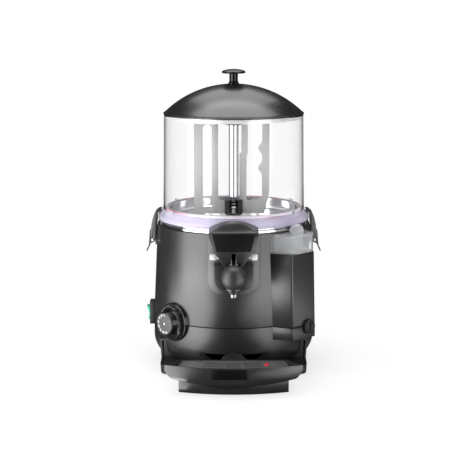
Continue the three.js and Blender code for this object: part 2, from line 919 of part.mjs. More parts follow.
// The mounting disc, the gearbox with its boss and the motor under it, as one bought unit.
function gearmotor() {
  const top = tankBottom - gap;
  const plate = rodZ(plateRadius, top - plateThickness, top, 0, 0, potSteps);
  const bottom = top - plateThickness - gearboxHeight;
  const housing = block([-half(gearboxWidth), half(gearboxWidth)],
    [-half(gearboxDepth), half(gearboxDepth)], [bottom, top - half(plateThickness)]);
  const can = revolved([
    [0, bottom - motorHeight - motorEndHeight],
    [motorEndRadius, bottom - motorHeight - motorEndHeight],
    [motorEndRadius, bottom - motorHeight],
    [motorRadius, bottom - motorHeight],
    [motorRadius, bottom + half(gearboxHeight)],
    [0, bottom + half(gearboxHeight)],
  ], knobSteps);
  return plate.add(housing).add(can)
    .subtract(rodZ(shaftRadius + runningGap, shaftBottom - gap, tankBottom, 0, 0, knobSteps));
}

function heaterRing() {
  const top = tankBottom - gap;
  return revolved([
    [heaterInner, top - heaterHeight],
    [heaterOuter, top - heaterHeight],
    [heaterOuter, top],
    [heaterInner, top],
  ], potSteps);
}

// The raised panel round the tap follows the drum's lean.
function panelShell(inner, outer) {
  const low = seamHeight;
  return revolved([
    [shellRadiusAt(low) + inner, low],
    [shellRadiusAt(low) + outer, low],
    [shellTopRadius + outer, shellTop],
    [shellTopRadius + inner, shellTop],
  ], drumSteps);
}

const uOutline = (halfWidth, bottom, top, radius) => [
  [halfWidth, top], [-halfWidth, top],
  ...arc(radius - halfWidth, bottom + radius, radius, 180, 270, 5),
  ...arc(halfWidth - radius, bottom + radius, radius, 270, 360, 5),
];

function tapPanel() {
  const outline = uOutline(panelHalfWidth, panelBottom, shellTop, panelCorner);
  return prismY(outline, -seamRadius - overrun, -half(seamRadius))
    .intersect(panelShell(gap, panelRaise)).subtract(outletTunnel());
}

function tapBlock() {
  const outline = uOutline(blockHalfWidth, blockBottom, headBottom - gap, blockCorner);
  const bore = rodZ(barrelRadius + gap, panelBottom, headCrown, 0, -barrelReach, knobSteps);
  return prismY(outline, -blockReach, -half(seamRadius))
    .subtract(drumEnvelope(panelRaise + gap)).subtract(bore).subtract(outletTunnel());
}

function tapBarrel() {
  const barrel = revolved([
    [nozzleHole, barrelBottom],
    [barrelRadius, barrelBottom],
    [barrelRadius, barrelTop],
    [boreRadius, barrelTop],
    [boreRadius, barrelBottom + barrelFloor],
    [nozzleHole, barrelBottom + barrelFloor],
  ], knobSteps, 0, -barrelReach);
  return barrel.subtract(rodY(outletBore, -barrelReach, -outletLegReach, 0, outletHeight));
}

function barrelCap() {
  const low = barrelTop + gap;
  const inner = pistonStemRadius + runningGap;
  return revolved([
    [inner, low], [barrelRadius, low], [barrelRadius, low + capThickness], [inner, low + capThickness],
  ], knobSteps, 0, -barrelReach);
}

function piston() {
  const body = revolved([
    [0, pistonBottom],
    [pistonRadius, pistonBottom],
    [pistonRadius, pistonHeadTop],
    [pistonStemRadius, pistonHeadTop],
    [pistonStemRadius, clevisBottom + half(clevisFloor)],
    [0, clevisBottom + half(clevisFloor)],
  ], knobSteps, 0, -barrelReach);
  const clevis = block([-clevisHalf, clevisHalf],
    [-barrelReach - clevisDepth, clevisDepth - barrelReach], [clevisBottom, clevisTop]);
  const slot = block([-clevisSlotHalf, clevisSlotHalf],
    [-barrelReach - overrun, overrun - barrelReach], [clevisBottom + clevisFloor, clevisTop + overrun]);
  const pin = rodX(crossPinRadius, -clevisHalf, clevisHalf, -barrelReach, crossPinHeight);
  return body.add(clevis.subtract(slot)).add(pin);
}

class SpringCurve extends THREE.Curve {
  getPoint(share) {
    const angle = 2 * Math.PI * springTurns * share;
    const low = pistonHeadTop + gap + springWire;
    const high = barrelTop - springWire;
    return new THREE.Vector3(springRadius * Math.cos(angle),
      springRadius * Math.sin(angle) - barrelReach, low + (high - low) * share);
  }
}

function pistonSpring() {
  const wire = new THREE.Shape(arc(0, 0, springWire, 0, 300, 5).map(([x, y]) => new THREE.Vector2(x, y)));
  return solid(new THREE.ExtrudeGeometry(wire, {
    steps: springTurns * springStepsPerTurn, extrudePath: new SpringCurve(), bevelEnabled: false,
  }));
}

function outletPipe() {
  const end = barrelReach - barrelRadius - gap;
  const top = basinFloor - basinSheet - gap;
  const leg = (radius, low, high) => rodZ(radius, low, high, 0, -outletLegReach);
  return rodY(outletRadius, -end, -outletLegReach, 0, outletHeight)
    .add(leg(outletRadius, outletHeight - outletRadius, top))
    .subtract(rodY(outletBore, -end - overrun, -outletLegReach, 0, outletHeight))
    .subtract(leg(outletBore, outletHeight - outletBore, top + overrun));
}

function nozzleCollar() {
  const top = barrelBottom - gap;
  return revolved([
    [nozzleHole, top - collarHeight],
    [collarRadius - gap, top - collarHeight],
    [collarRadius, top - half(collarHeight)],
    [collarRadius, top],
    [nozzleHole, top],
  ], knobSteps, 0, -barrelReach);
}

function spoutTip() {
  const top = barrelBottom - gap - collarHeight - gap;
  return revolved([
    [spoutBore, top - spoutHeight],
    [spoutTipRadius, top - spoutHeight],
    [spoutRadius, top],
    [spoutBore, top],
  ], knobSteps, 0, -barrelReach);
}

// The head's front outline: a shallow crown arc over two leaning sides and a V.
function headOutline() {
  const rise = headCrown - headShoulder;
  const crownRadius = half(headHalfWidth ** 2 / rise + rise);
  const sweep = THREE.MathUtils.radToDeg(Math.asin(headHalfWidth / crownRadius));
  return [
    ...arc(0, headCrown - crownRadius, crownRadius, 90 - sweep, 90 + sweep, crownSteps),
    [-headHalfWidth, headSideBottom], [-headWaistHalf, headWaist], [-headBottomHalf, headBottom],
    [headBottomHalf, headBottom], [headWaistHalf, headWaist], [headHalfWidth, headSideBottom],
  ];
}

// Seen from the side: flat in front, with a sloping roof over it.
const headSide = () => prismX([
  [-half(seamRadius), headBottom], [-headBottomReach, headBottom], [-headReach, headWaist],
  [-headReach, headFrontTop], [-headTopReach, headCrown], [-half(seamRadius), headCrown],
], -headHalfWidth, headHalfWidth);

// The drum, its raised panel and the bowl's flange, which the head reaches over.
function headBack() {
  const panel = rodZ(seamRadius + panelRaise, headBottom - overrun, shellTop, 0, 0, drumSteps);
  return drumEnvelope(panelRaise + gap).intersect(panel)
    .add(rodZ(flangeRadius + 2 * gap, shellTop - overrun, headCrown + overrun, 0, 0, drumSteps));
}

function tapHead() {
  const front = headReach - headWall;
  const cavity = block([-headCavityHalf, headCavityHalf], [-front, -headCavityBack],
    [headBottom - overrun, headCavityTop]);
  const slot = block([-headSlotHalf, headSlotHalf], [-headReach - overrun, -headCavityBack],
    [headBottom - overrun, headSlotTop]);
  const pin = rodX(pinRadius + gap, -pinCapInner, pinCapInner, -pinReach, pinHeight);
  return prismY(headOutline(), -headReach, -half(seamRadius)).intersect(headSide())
    .subtract(cavity).subtract(slot).subtract(pin).subtract(headBack());
}

function headPlate() {
  const back = -headReach - gap;
  return prismY([
    [plateTopHalf, plateTop], [-plateTopHalf, plateTop],
    [-plateBottomHalf, plateBottom], [plateBottomHalf, plateBottom],
  ], back - plateDepth, back);
}

const leverPin = () => rodX(pinRadius, -pinCapInner - gap, pinCapInner + gap, -pinReach, pinHeight)
  .add(rodX(pinCapRadius, pinCapInner, pinCapOuter, -pinReach, pinHeight))
  .add(rodX(pinCapRadius, -pinCapOuter, -pinCapInner, -pinReach, pinHeight));

const leverLength = Math.hypot(ballReach - pinReach, pinHeight - ballHeight);
const leverTilt = Math.atan2(pinHeight - ballHeight, ballReach - pinReach);

// Places a solid that was built with its arm along -Y from the lever's pin.
const onLever = (body) => body.rotate([THREE.MathUtils.radToDeg(leverTilt), 0, 0])
  .translate([0, -pinReach, pinHeight]);

function lever() {
  const end = leverLength - ballRadius + leverGrip;
  const arm = block([-leverHalfThickness, leverHalfThickness], [-end, 0],
    [-leverHalfHeight, leverHalfHeight]);
  const slot = block([-leverHalfThickness - overrun, leverHalfThickness + overrun],
    [-leverSlotEnd, -leverSlotStart], [-leverSlotHalf, leverSlotHalf]);
  const hub = rodX(leverHubRadius, -leverHubHalf, leverHubHalf, 0, 0, knobSteps);
  const bore = rodX(pinRadius + gap, -leverHubHalf - overrun, leverHubHalf + overrun, 0, 0);
  return onLever(arm.add(hub).subtract(bore).subtract(slot));
}

function ballKnob() {
  const ball = solid(new THREE.SphereGeometry(ballRadius, knobSteps, half(knobSteps)))
    .translate([0, -leverLength, 0]);
  const end = leverLength - ballRadius + leverGrip;
  const socket = block([-leverHalfThickness - gap, leverHalfThickness + gap], [-end - gap, 0],
    [-leverHalfHeight - gap, leverHalfHeight + gap]);
  return onLever(ball.subtract(socket));
}

function dialBezel() {
  const ring = rodY(bezelRadius, -bezelStepReach, -half(seamRadius), 0, dialHeight, knobSteps)
    .add(rodY(bezelRingRadius, -bezelOuterReach, -half(seamRadius), 0, dialHeight, knobSteps));
  const hole = rodY(dialShaftRadius + 2 * gap, -dialReach, 0, 0, dialHeight);
  return aimed(ring.subtract(hole), -dialAngle).subtract(drumEnvelope(gap));
}

function dialKnob() {
  const skirt = bezelOuterReach + gap;
  const foot = skirt + dialSkirtThickness;
  const knob = new THREE.LatheGeometry([
    [0, skirt], [skirtDialRadius, skirt], [skirtDialRadius, foot], [dialRadius, foot],
    [dialRadius, dialReach - dialChamfer], [dialRadius - dialChamfer, dialReach], [0, dialReach],
  ].map(([r, reach]) => new THREE.Vector2(r, reach)), knobSteps);
  turned(knob, [1, 0, 0], [0, -1, 0], [0, 0, -1]);
  const shaft = rodY(dialShaftRadius, -skirt - half(dialSkirtThickness),
    -thermostatReach - gap, 0, dialHeight);
  return aimed(solid(knob.translate(0, 0, dialHeight)).add(shaft), -dialAngle);
}

function thermostatBody() {
  const width = thermostatHalfWidth;
  const body = block([-width, width], [-thermostatReach, thermostatDepth - thermostatReach],
    [dialHeight - width, dialHeight + width]);
  return aimed(body, -dialAngle);
}

function switchHousing() {
  const [low, high] = [switchHeight - switchHalfHeight, switchHeight + switchHalfHeight];
  const flange = block([-switchReach, -half(seamRadius)], [-switchHalfWidth, switchHalfWidth], [low, high])
    .subtract(drumEnvelope(gap));
  const neckHalf = switchHalfWidth - switchNeckInset;
  const neck = block([half(switchNeckInset) - switchReach, -switchInner], [-neckHalf, neckHalf],
    [low + switchNeckInset, high - switchNeckInset]);
  const mouth = block([-switchReach - overrun, switchMouthDepth - switchReach],
    [-switchMouthHalfWidth, switchMouthHalfWidth],
    [switchHeight - switchMouthHalfHeight, switchHeight + switchMouthHalfHeight]);
  return flange.add(neck).subtract(mouth);
}

function rocker() {
  const profile = [
    [rockerPivotReach - rockerReach, rockerHalfHeight],
    [rockerPivotReach - rockerValley, 0],
    [rockerPivotReach - rockerReach, -rockerHalfHeight],
    [rockerPivotReach - rockerInner, -rockerLowHalf],
    [rockerPivotReach - rockerInner, rockerLowHalf],
  ];
  return prismY(profile, -rockerHalfWidth, rockerHalfWidth)
    .rotate([0, -rockerTilt, 0]).translate([-rockerPivotReach, 0, switchHeight]);
}

const linkHeight = latchPivotHeight - latchLinkDrop;
const cheekInner = lugHalf + cheekGap;
const cheekOuter = cheekInner + cheekThickness;
const hookArmInner = cheekOuter + cheekGap;
const hookArmOuter = hookArmInner + hookSheet;

// Both sides of a latch piece that is built for the side at +Y.
const bothSides = (body) => body.add(body.mirror([0, 1, 0]));

function latchBracket() {
  const plate = block([half(seamRadius), bracketReach], [-bracketHalfWidth, bracketHalfWidth],
    [latchPivotHeight - bracketBelow, latchPivotHeight + bracketAbove]).subtract(drumEnvelope(gap));
  const neck = block([bracketReach - gap, latchPivotReach], [-lugHalf, lugHalf],
    [latchPivotHeight - lugRadius, latchPivotHeight + lugRadius]);
  const lug = rodY(lugRadius, -lugHalf, lugHalf, latchPivotReach, latchPivotHeight);
  const pin = rodY(latchPinRadius, -hookPinReach, hookPinReach, latchPivotReach, latchPivotHeight);
  return plate.add(neck).add(lug).add(pin);
}

function latchHandle() {
  const top = latchPivotHeight + handleTopRise;
  const plate = prismY([
    [handleTopReach, top], [handleTopReach - handleSheet, top],
    [handleBottomReach - handleSheet, handleBottom], [handleTipReach - handleSheet, handleBottom - tipDrop],
    [handleTipReach, handleBottom - tipDrop], [handleBottomReach, handleBottom],
  ], -cheekOuter, cheekOuter);
  const middle = handleTopReach - half(handleSheet);
  const cheek = prismY([
    [middle, top], [latchPivotReach, latchPivotHeight + handleInset],
    ...arc(latchPivotReach, latchPivotHeight, handleInset, 90, 180, 4),
    [latchPivotReach - handleInset, cheekBottom], [middle, cheekOuterBottom],
  ], cheekInner, cheekOuter);
  const stub = rodY(linkPinRadius, cheekInner, linkStubReach, latchPivotReach, linkHeight);
  const bore = rodY(latchPinRadius + gap, cheekInner - overrun, cheekOuter + overrun,
    latchPivotReach, latchPivotHeight);
  return plate.add(bothSides(cheek.add(stub).subtract(bore)));
}

function latchHook() {
  const [inner, outer] = [latchPivotReach - hookArmHalf, latchPivotReach + hookArmHalf];
  const arm = block([inner, outer], [hookArmInner, hookArmOuter], [linkHeight, flangeEdgeTop - hookRise])
    .add(rodY(hookEyeRadius, hookArmInner, hookArmOuter, latchPivotReach, linkHeight))
    .subtract(rodY(linkPinRadius + gap, hookArmInner - overrun, hookArmOuter + overrun,
      latchPivotReach, linkHeight));
  const hookBend = flangeEdgeTop - hookRise;
  const overFlange = (points) => points.map(([across, up]) => [flangeRadius + across, flangeEdgeTop + up]);
  const outline = [[inner, hookBend], ...overFlange(hookInner), ...overFlange(hookOuter), [outer, hookBend]];
  const claw = prismY(outline, -hookArmOuter, hookArmOuter);
  return claw.add(bothSides(arm));
}

const otherSide = (body) => body.mirror([1, 0, 0]);

function fillerCup() {
  const low = fillerShelf + gap;
  const cavity = fillerBody(cupWall, low + cupWall, cupTop + overrun).subtract(drumEnvelope(gap + cupWall));
  const hole = rodZ(fillerHole, low - overrun, low + overrun, 0, -fillerCenter);
  return aimed(fillerBody(0, low, cupTop).subtract(drumEnvelope(gap)).subtract(cavity).subtract(hole),
    columnAngle);
}

function fillerLid() {
  const low = cupTop + gap;
  const inset = cupWall + gap;
  const plate = fillerBody(0, low, low + fillerLidThickness).subtract(drumEnvelope(gap));
  const lip = fillerBody(inset, low - fillerLidThickness, low + half(fillerLidThickness))
    .subtract(drumEnvelope(gap + inset));
  const hollow = fillerBody(inset + fillerKnobWall, low - overrun, low)
    .subtract(drumEnvelope(gap + inset + fillerKnobWall));
  return aimed(plate.add(lip).add(fillerLidKnob(0)).subtract(hollow)
    .subtract(fillerLidKnob(fillerKnobWall)), columnAngle);
}

// The lid's round knob, moulded with it and hollow.
function fillerLidKnob(inset) {
  const radius = fillerKnobRadius - inset;
  const low = cupTop + half(fillerLidThickness);
  const middle = cupTop + fillerLidThickness + fillerKnobHeight - fillerKnobRadius;
  const foot = inset > 0 ? low - overrun : low;
  return revolved([
    [0, foot],
    [radius, foot],
    ...arc(0, middle, radius, 0, 90, cornerSteps).slice(0, -1),
    [0, middle + radius],
  ], knobSteps, 0, -fillerCenter);
}

function fillerElbow() {
  const end = tankRadius - tankSheet;
  const pipe = (radius, extra) => rodY(radius, -fillerCenter, extra - end, 0, fillerPipeHeight)
    .add(rodZ(radius, fillerPipeHeight - radius, fillerShelf + extra, 0, -fillerCenter));
  return aimed(pipe(pipeRadius, 0).subtract(pipe(pipeBore, overrun)), columnAngle);
}

function drainPipe() {
  const end = tankRadius - tankSheet;
  const mouth = fillerReach - fillerWall - half(fillerCorner);
  const pipe = (radius, extra) => rodY(radius, -fillerCenter, extra - end, drainShift, drainTankHeight)
    .add(rodZ(radius, drainHeight - radius, drainTankHeight + radius, drainShift, -fillerCenter))
    .add(rodY(radius, -mouth - extra, -fillerCenter, drainShift, drainHeight));
  return aimed(pipe(pipeRadius, 0).subtract(pipe(pipeBore, overrun)), columnAngle);
}

function drainPlug() {
  const face = fillerReach + half(gap);
  const front = face + drainPlugThickness;
  const cap = rodY(drainPlugRadius, -front, -face, drainShift, drainHeight, knobSteps);
  const slot = block([drainShift - drainSlotHalf, drainShift + drainSlotHalf],
    [-front - overrun, half(drainPlugThickness) - front],
    [drainHeight - drainPlugRecess, drainHeight + drainPlugRecess]);
  const shank = rodY(pipeBore - gap, -face - gap, drainShankLength - face, drainShift, drainHeight);
  return aimed(cap.subtract(slot).add(shank), columnAngle);
}

// A body between two convex outlines, one at each height.
const tapered = (lower, low, upper, high) => wasm.Manifold.hull([
  ...lower.map(([x, y]) => [x, y, low]), ...upper.map(([x, y]) => [x, y, high]),
]);

const pedestalBody = (inset, low, high) => tapered(
  roundedRectangle(pedestalHalfWidth - inset, inset - pedestalFront, pedestalBack - inset,
    pedestalCorner - inset, cornerSteps), low,
  roundedRectangle(pedestalTopHalf - inset, inset - pedestalFront, pedestalBack - inset,
    pedestalCorner - inset, cornerSteps), high);

// Seats for two feet at one distance from the axis: a boss with a pocket under it.
function footSeats(body, x, y, top) {
  return [-x, x].reduce((rest, at) => rest
    .add(rodZ(rubberBossRadius, footProtrusion, top, at, y, knobSteps))
    .subtract(rodZ(rubberRadius + gap, -overrun, rubberTop + gap, at, y, knobSteps)), body);
}

function pedestal() {
  const top = pedestalTop - pedestalWall;
  const shell = pedestalBody(0, footProtrusion, pedestalTop)
    .subtract(pedestalBody(pedestalWall, footProtrusion + pedestalFloor, top));
  const hole = rodY(glandNeckRadius + gap, half(pedestalBack), pedestalBack + overrun, glandX, glandHeight);
  return footSeats(shell, backFootX, backFootY, rubberBossTop).subtract(drumEnvelope(gap)).subtract(hole);
}

const rubberFoot = (x, y) => rodZ(rubberRadius, 0, rubberTop, x, y, knobSteps);

// The tray's outside. A positive inset gives its hollow, a negative one gives room for it.
function trayShape(inset) {
  const side = trayHalfWidth - inset;
  const beyond = frontReach + overrun;
  const plan = prismZ(mirrored([
    [trayBackHalf - inset, -trayBack - inset], [side, -trayFrontShoulder], [side, -beyond],
  ]), 0, totalHeight);
  const front = revolved([
    [0, 0],
    [trayUnderReach - inset, 0],
    [trayUnderReach - inset, trayKeel],
    [frontReach - inset, trayFaceBottom],
    [frontReach - inset, totalHeight],
    [0, totalHeight],
  ], frontSteps);
  const hull = Array.from({ length: traySteps + 1 }, (_, i) => {
    const share = (2 * i) / traySteps - 1;
    const rise = (trayShoulderHeight - trayKeel) * share ** 2;
    return [(trayShoulderHalf - inset) * share, trayKeel + inset + rise];
  });
  const section = prismY([
    [side, totalHeight], [-side, totalHeight], [-side, traySideFoot], ...hull, [side, traySideFoot],
  ], -beyond, 0);
  return plan.intersect(front).intersect(section);
}

// The tray's rim: level in front, sloping down to the back.
const trayLevels = () => prismX([
  [-frontReach - overrun, 0], [0, 0], [0, trayBackTop], [-trayBack, trayBackTop],
  [-trayFrontShoulder, trayRim], [-frontReach - overrun, trayRim],
], -trayHalfWidth - overrun, trayHalfWidth + overrun);

// A curved slab of the tray's front, with its inner and outer reach.
function frontSlab(inner, outer, margin) {
  const middle = -frontPanelShift;
  return revolved([
    [inner, frontPanelBottom - margin], [outer, frontPanelBottom - margin],
    [outer, frontPanelTop + margin], [inner, frontPanelTop + margin],
  ], frontSteps).intersect(block(
    [middle - panelInsetHalf - margin, middle + panelInsetHalf + margin],
    [-frontReach - overrun, -trayBack], [0, totalHeight]));
}

const dripTray = () => trayShape(0).intersect(trayLevels()).subtract(trayShape(trayWall)).add(trayTab())
  .subtract(frontSlab(frontReach - frontPanelDepth - gap, frontReach + overrun, gap));
const trayFrontPanel = () => frontSlab(frontReach - frontPanelDepth, frontReach - half(gap), 0);

// The half disc that stands up at the back of the tray.
function trayTab() {
  return prismY(arc(0, tabCenter, tabRadius, 0, 180, 2 * cornerSteps),
    -trayBack - half(tabThickness), tabThickness - trayBack);
}

// One slot of the grille, between two angles and two radii.
function grilleSlot(row, [from, to]) {
  const inner = slotFirst + row * slotPitch;
  const outline = [
    ...arc(0, 0, inner, from - 90, to - 90, slotSteps),
    ...arc(0, 0, inner + slotWidth, to - 90, from - 90, slotSteps),
  ];
  return prismZ(outline, grilleTop - grilleThickness - overrun, grilleTop + overrun);
}

function grille() {
  const inset = trayWall + grilleSide;
  const slab = block([-trayHalfWidth, trayHalfWidth], [-frontReach, -trayBack],
    [grilleTop - grilleThickness, grilleTop]);
  const rows = Array.from({ length: slotCount }, (_, row) => row);
  const slots = rows.flatMap((row) => slotEdges.map((edges) => grilleSlot(row, edges)));
  const hole = rodZ(floatHoleRadius, 0, totalHeight, floatX, -floatReach);
  const boss = rodZ(floatHoleRadius + trayWall, grilleTop - grilleThickness, grilleTop, floatX, -floatReach);
  return slab.intersect(trayShape(inset))
    .subtract(wasm.Manifold.union(slots).intersect(trayShape(inset + slotInset)))
    .add(boss).subtract(hole);
}

const floatPin = () => rodZ(floatRadius, floatBottom, grilleTop + floatProud, floatX, -floatReach);

// The base under the tray: its top follows the tray's underside, and is low behind it.
function baseBody(inset, low) {
  const side = baseHalfWidth - inset;
  const back = -pedestalFront - gap - inset;
  const under = block([-side, side], [-frontReach, -trayBack], [low, trayShoulderHeight])
    .subtract(trayShape(-gap - inset));
  const behind = block([-side, side], [-trayBack - overrun, back], [low, trayKeel - gap - inset]);
  return under.add(behind).intersect(rodZ(baseReach - inset, low, trayRim, 0, 0, frontSteps));
}

function baseFoot() {
  const shell = baseBody(0, footProtrusion).subtract(baseBody(baseShell, -overrun));
  return footSeats(shell, frontFootX, -frontFootReach, baseBossTop).subtract(drumEnvelope(gap));
}

function rearCover() {
  const low = pedestalTop + gap;
  const shell = (inset, bottom, top) => prismZ(
    roundedRectangle(coverHalfWidth - inset, 0, pedestalBack - inset, coverCorner - inset), bottom, top);
  const vents = Array.from({ length: ventCount }, (_, i) => block([-ventHalfWidth, ventHalfWidth],
    [pedestalBack - coverCorner, pedestalBack + overrun],
    [ventFirst + i * ventPitch, ventFirst + i * ventPitch + ventHeight]));
  return shell(0, low, coverTop).subtract(shell(coverWall, low + coverWall, coverTop - coverWall))
    .subtract(wasm.Manifold.union(vents)).subtract(drumEnvelope(gap));
}

function cableGland() {
  const face = pedestalBack + gap;
  const flange = rodY(glandRadius, face, backReach, glandX, glandHeight, knobSteps);
  const neck = rodY(glandNeckRadius, face - glandRadius, face + gap, glandX, glandHeight);
  return flange.add(neck).subtract(rodY(glandBore, 0, backReach + overrun, glandX, glandHeight));
}

addPart('knob_cap', knobCap(), 'gloss');
addPart('knob_stem', knobStem(), 'gloss');
addPart('lid_dome', lidDome(), 'anthracite');
addPart('lid_skirt', lidSkirt(), 'steel');
addPart('bowl', bowl(), 'clear');
addPart('seal_ring', sealRing(), 'seal');
addPart('chocolate_basin', chocolateBasin(), 'steel');
addPart('water_tank', waterTank(), 'steel');
addPart('left_blade', leftBlade(), 'blade');
addPart('right_blade', rightBlade(), 'blade');
addPart('top_hub', topHub(), 'black');
addPart('lower_hub', lowerHub(), 'black');
addPart('column_tube', columnTube(), 'steel');
addPart('drive_shaft', driveShaft(), 'zinc');
addPart('gearmotor', gearmotor(), 'zinc');
addPart('heater_ring', heaterRing(), 'zinc');
addPart('upper_shell', upperShell(), 'anthracite');
addPart('lower_shell', lowerShell(), 'anthracite');
addPart('tap_panel', tapPanel(), 'anthracite');
addPart('tap_block', tapBlock(), 'anthracite');
addPart('tap_barrel', tapBarrel(), 'anthracite');
addPart('barrel_cap', barrelCap(), 'black');
addPart('piston', piston(), 'pale');
addPart('piston_spring', pistonSpring(), 'steel');
addPart('outlet_pipe', outletPipe(), 'steel');
addPart('nozzle_collar', nozzleCollar(), 'black');
addPart('spout_tip', spoutTip(), 'steel');
addPart('tap_head', tapHead(), 'anthracite');
addPart('head_plate', headPlate(), 'black');
addPart('lever_pin', leverPin(), 'steel');
addPart('lever', lever(), 'black');
addPart('ball_knob', ballKnob(), 'black');
addPart('dial_bezel', dialBezel(), 'gloss');
addPart('dial_knob', dialKnob(), 'gloss');
addPart('thermostat_body', thermostatBody(), 'zinc');
addPart('switch_housing', switchHousing(), 'black');
addPart('rocker', rocker(), 'green');
addPart('latch_bracket_left', otherSide(latchBracket()), 'black');
addPart('latch_handle_left', otherSide(latchHandle()), 'black');
addPart('latch_hook_left', otherSide(latchHook()), 'black');
addPart('latch_bracket_right', latchBracket(), 'black');
addPart('latch_handle_right', latchHandle(), 'black');
addPart('latch_hook_right', latchHook(), 'black');
addPart('filler_cup', fillerCup(), 'clear');
addPart('filler_lid', fillerLid(), 'clear');
addPart('filler_elbow', fillerElbow(), 'rubber');
addPart('drain_pipe', drainPipe(), 'rubber');
addPart('drain_plug', drainPlug(), 'black');
addPart('pedestal', pedestal(), 'anthracite');
addPart('base_foot', baseFoot(), 'anthracite');
addPart('rear_cover', rearCover(), 'anthracite');
addPart('cable_gland', cableGland(), 'black');
addPart('drip_tray', dripTray(), 'anthracite');
addPart('tray_front_panel', trayFrontPanel(), 'black');

addPart('grille', grille(), 'anthracite');
addPart('float_pin', floatPin(), 'red');
addPart('rubber_foot_front_left', rubberFoot(-frontFootX, -frontFootReach), 'rubber');
addPart('rubber_foot_front_right', rubberFoot(frontFootX, -frontFootReach), 'rubber');
addPart('rubber_foot_back_left', rubberFoot(-backFootX, backFootY), 'rubber');
addPart('rubber_foot_back_right', rubberFoot(backFootX, backFootY), 'rubber');

export default root;
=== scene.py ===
# %% [markdown]
# A hot chocolate dispenser: a dark plastic drum with a heater and a motor in it, a clear bowl on top, and
# a tap in front. The frame is the measured machine in plain solids. This lesson dresses it: round pieces
# are spun again with fine steps, edges are softened, and each surface gets its real finish.

# %% Load the frame
import json
import math

import bpy
from mathutils import Matrix, Vector


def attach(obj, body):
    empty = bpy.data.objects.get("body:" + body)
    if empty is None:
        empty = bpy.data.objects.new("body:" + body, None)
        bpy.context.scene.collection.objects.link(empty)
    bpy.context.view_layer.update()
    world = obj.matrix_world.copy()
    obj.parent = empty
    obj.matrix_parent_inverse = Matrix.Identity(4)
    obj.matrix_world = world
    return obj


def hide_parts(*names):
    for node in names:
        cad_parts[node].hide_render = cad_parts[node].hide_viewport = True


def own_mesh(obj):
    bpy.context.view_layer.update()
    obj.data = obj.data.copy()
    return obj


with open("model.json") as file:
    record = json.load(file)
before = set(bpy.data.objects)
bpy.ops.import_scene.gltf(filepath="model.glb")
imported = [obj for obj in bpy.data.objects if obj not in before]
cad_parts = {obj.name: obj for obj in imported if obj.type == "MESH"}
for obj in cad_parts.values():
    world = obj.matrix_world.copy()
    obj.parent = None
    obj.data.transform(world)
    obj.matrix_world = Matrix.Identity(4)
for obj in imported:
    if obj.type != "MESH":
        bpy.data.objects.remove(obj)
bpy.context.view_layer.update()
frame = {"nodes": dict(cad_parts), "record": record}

nodes = frame["nodes"]
print("pieces in the frame:", len(nodes))

# %% [markdown]
# All lengths below are written in millimetres, as on a drawing, and turned to metres where a mesh is made.
# The drum stands 45 mm behind the middle of the machine, so its axis has a name of its own.

# %% Units and places
MM = 0.001
AXIS_Y = 45.0


def at(x, y, z):
    """A point given from the drum's axis, in millimetres."""
    return Vector((x * MM, (y + AXIS_Y) * MM, z * MM))


print("drum axis in metres:", tuple(round(value, 4) for value in at(0, 0, 0)))

# %% [markdown]
# Blender's mesh operators work on what is selected, so every piece starts with nothing selected. A
# finished piece keeps its place in its mesh, and its object stays at the origin.

# %% Helpers for making pieces
def deselect():
    """Leave edit mode and select nothing."""
    if bpy.context.object and bpy.context.object.mode != "OBJECT":
        bpy.ops.object.mode_set(mode="OBJECT")
    bpy.ops.object.select_all(action="DESELECT")


def activate(piece):
    """Select one piece alone, so that operators act on it."""
    deselect()
    piece.select_set(True)
    bpy.context.view_layer.objects.active = piece


def edit(piece, action="SELECT"):
    """Enter edit mode with all or nothing selected."""
    activate(piece)
    bpy.ops.object.mode_set(mode="EDIT")
    bpy.ops.mesh.select_all(action=action)


def settle(piece, name):
    """Name a new piece and put its place into its mesh."""
    activate(piece)
    bpy.ops.object.transform_apply(location=True, rotation=True, scale=True)
    piece.name = name
    piece.data.name = name
    return piece


def apply_all(piece):
    """Turn a piece's modifiers into real mesh."""
    activate(piece)
    for modifier in list(piece.modifiers):
        bpy.ops.object.modifier_apply(modifier=modifier.name)


def smooth(piece, degrees=35):
    """Shade smoothly over edges that turn by less than the angle."""
    activate(piece)
    bpy.ops.object.shade_smooth_by_angle(angle=math.radians(degrees))


def bevel(piece, width, segments=3, degrees=30):
    """Round the edges that turn by more than the angle. The width is in millimetres."""
    modifier = piece.modifiers.new("soft edges", "BEVEL")
    modifier.width = width * MM
    modifier.segments = segments
    modifier.limit_method = "ANGLE"
    modifier.angle_limit = math.radians(degrees)
    modifier.use_clamp_overlap = True
    apply_all(piece)


print("helpers ready")

# %% [markdown]
# Round pieces such as the bowl and the knobs come from a lathe or a round mould. In Blender the Spin tool
# does the same: one corner point is drawn out into a profile, and the profile is spun about an upright
# line.

# %% Spin a profile
SAME_POINT = 0.000002


def drawn(points):
    """Draw a closed line through points. It stays in edit mode with all of it selected."""
    deselect()
    bpy.ops.mesh.primitive_plane_add(size=1, location=(0, 0, 0))
    piece = bpy.context.object
    edit(piece)
    bpy.ops.mesh.merge(type="CENTER")
    bpy.ops.transform.translate(value=points[0])
    for here, there in zip(points, points[1:] + points[:1]):
        bpy.ops.mesh.extrude_region_move(TRANSFORM_OT_translate={"value": there - here})
    bpy.ops.mesh.select_all(action="SELECT")
    return piece


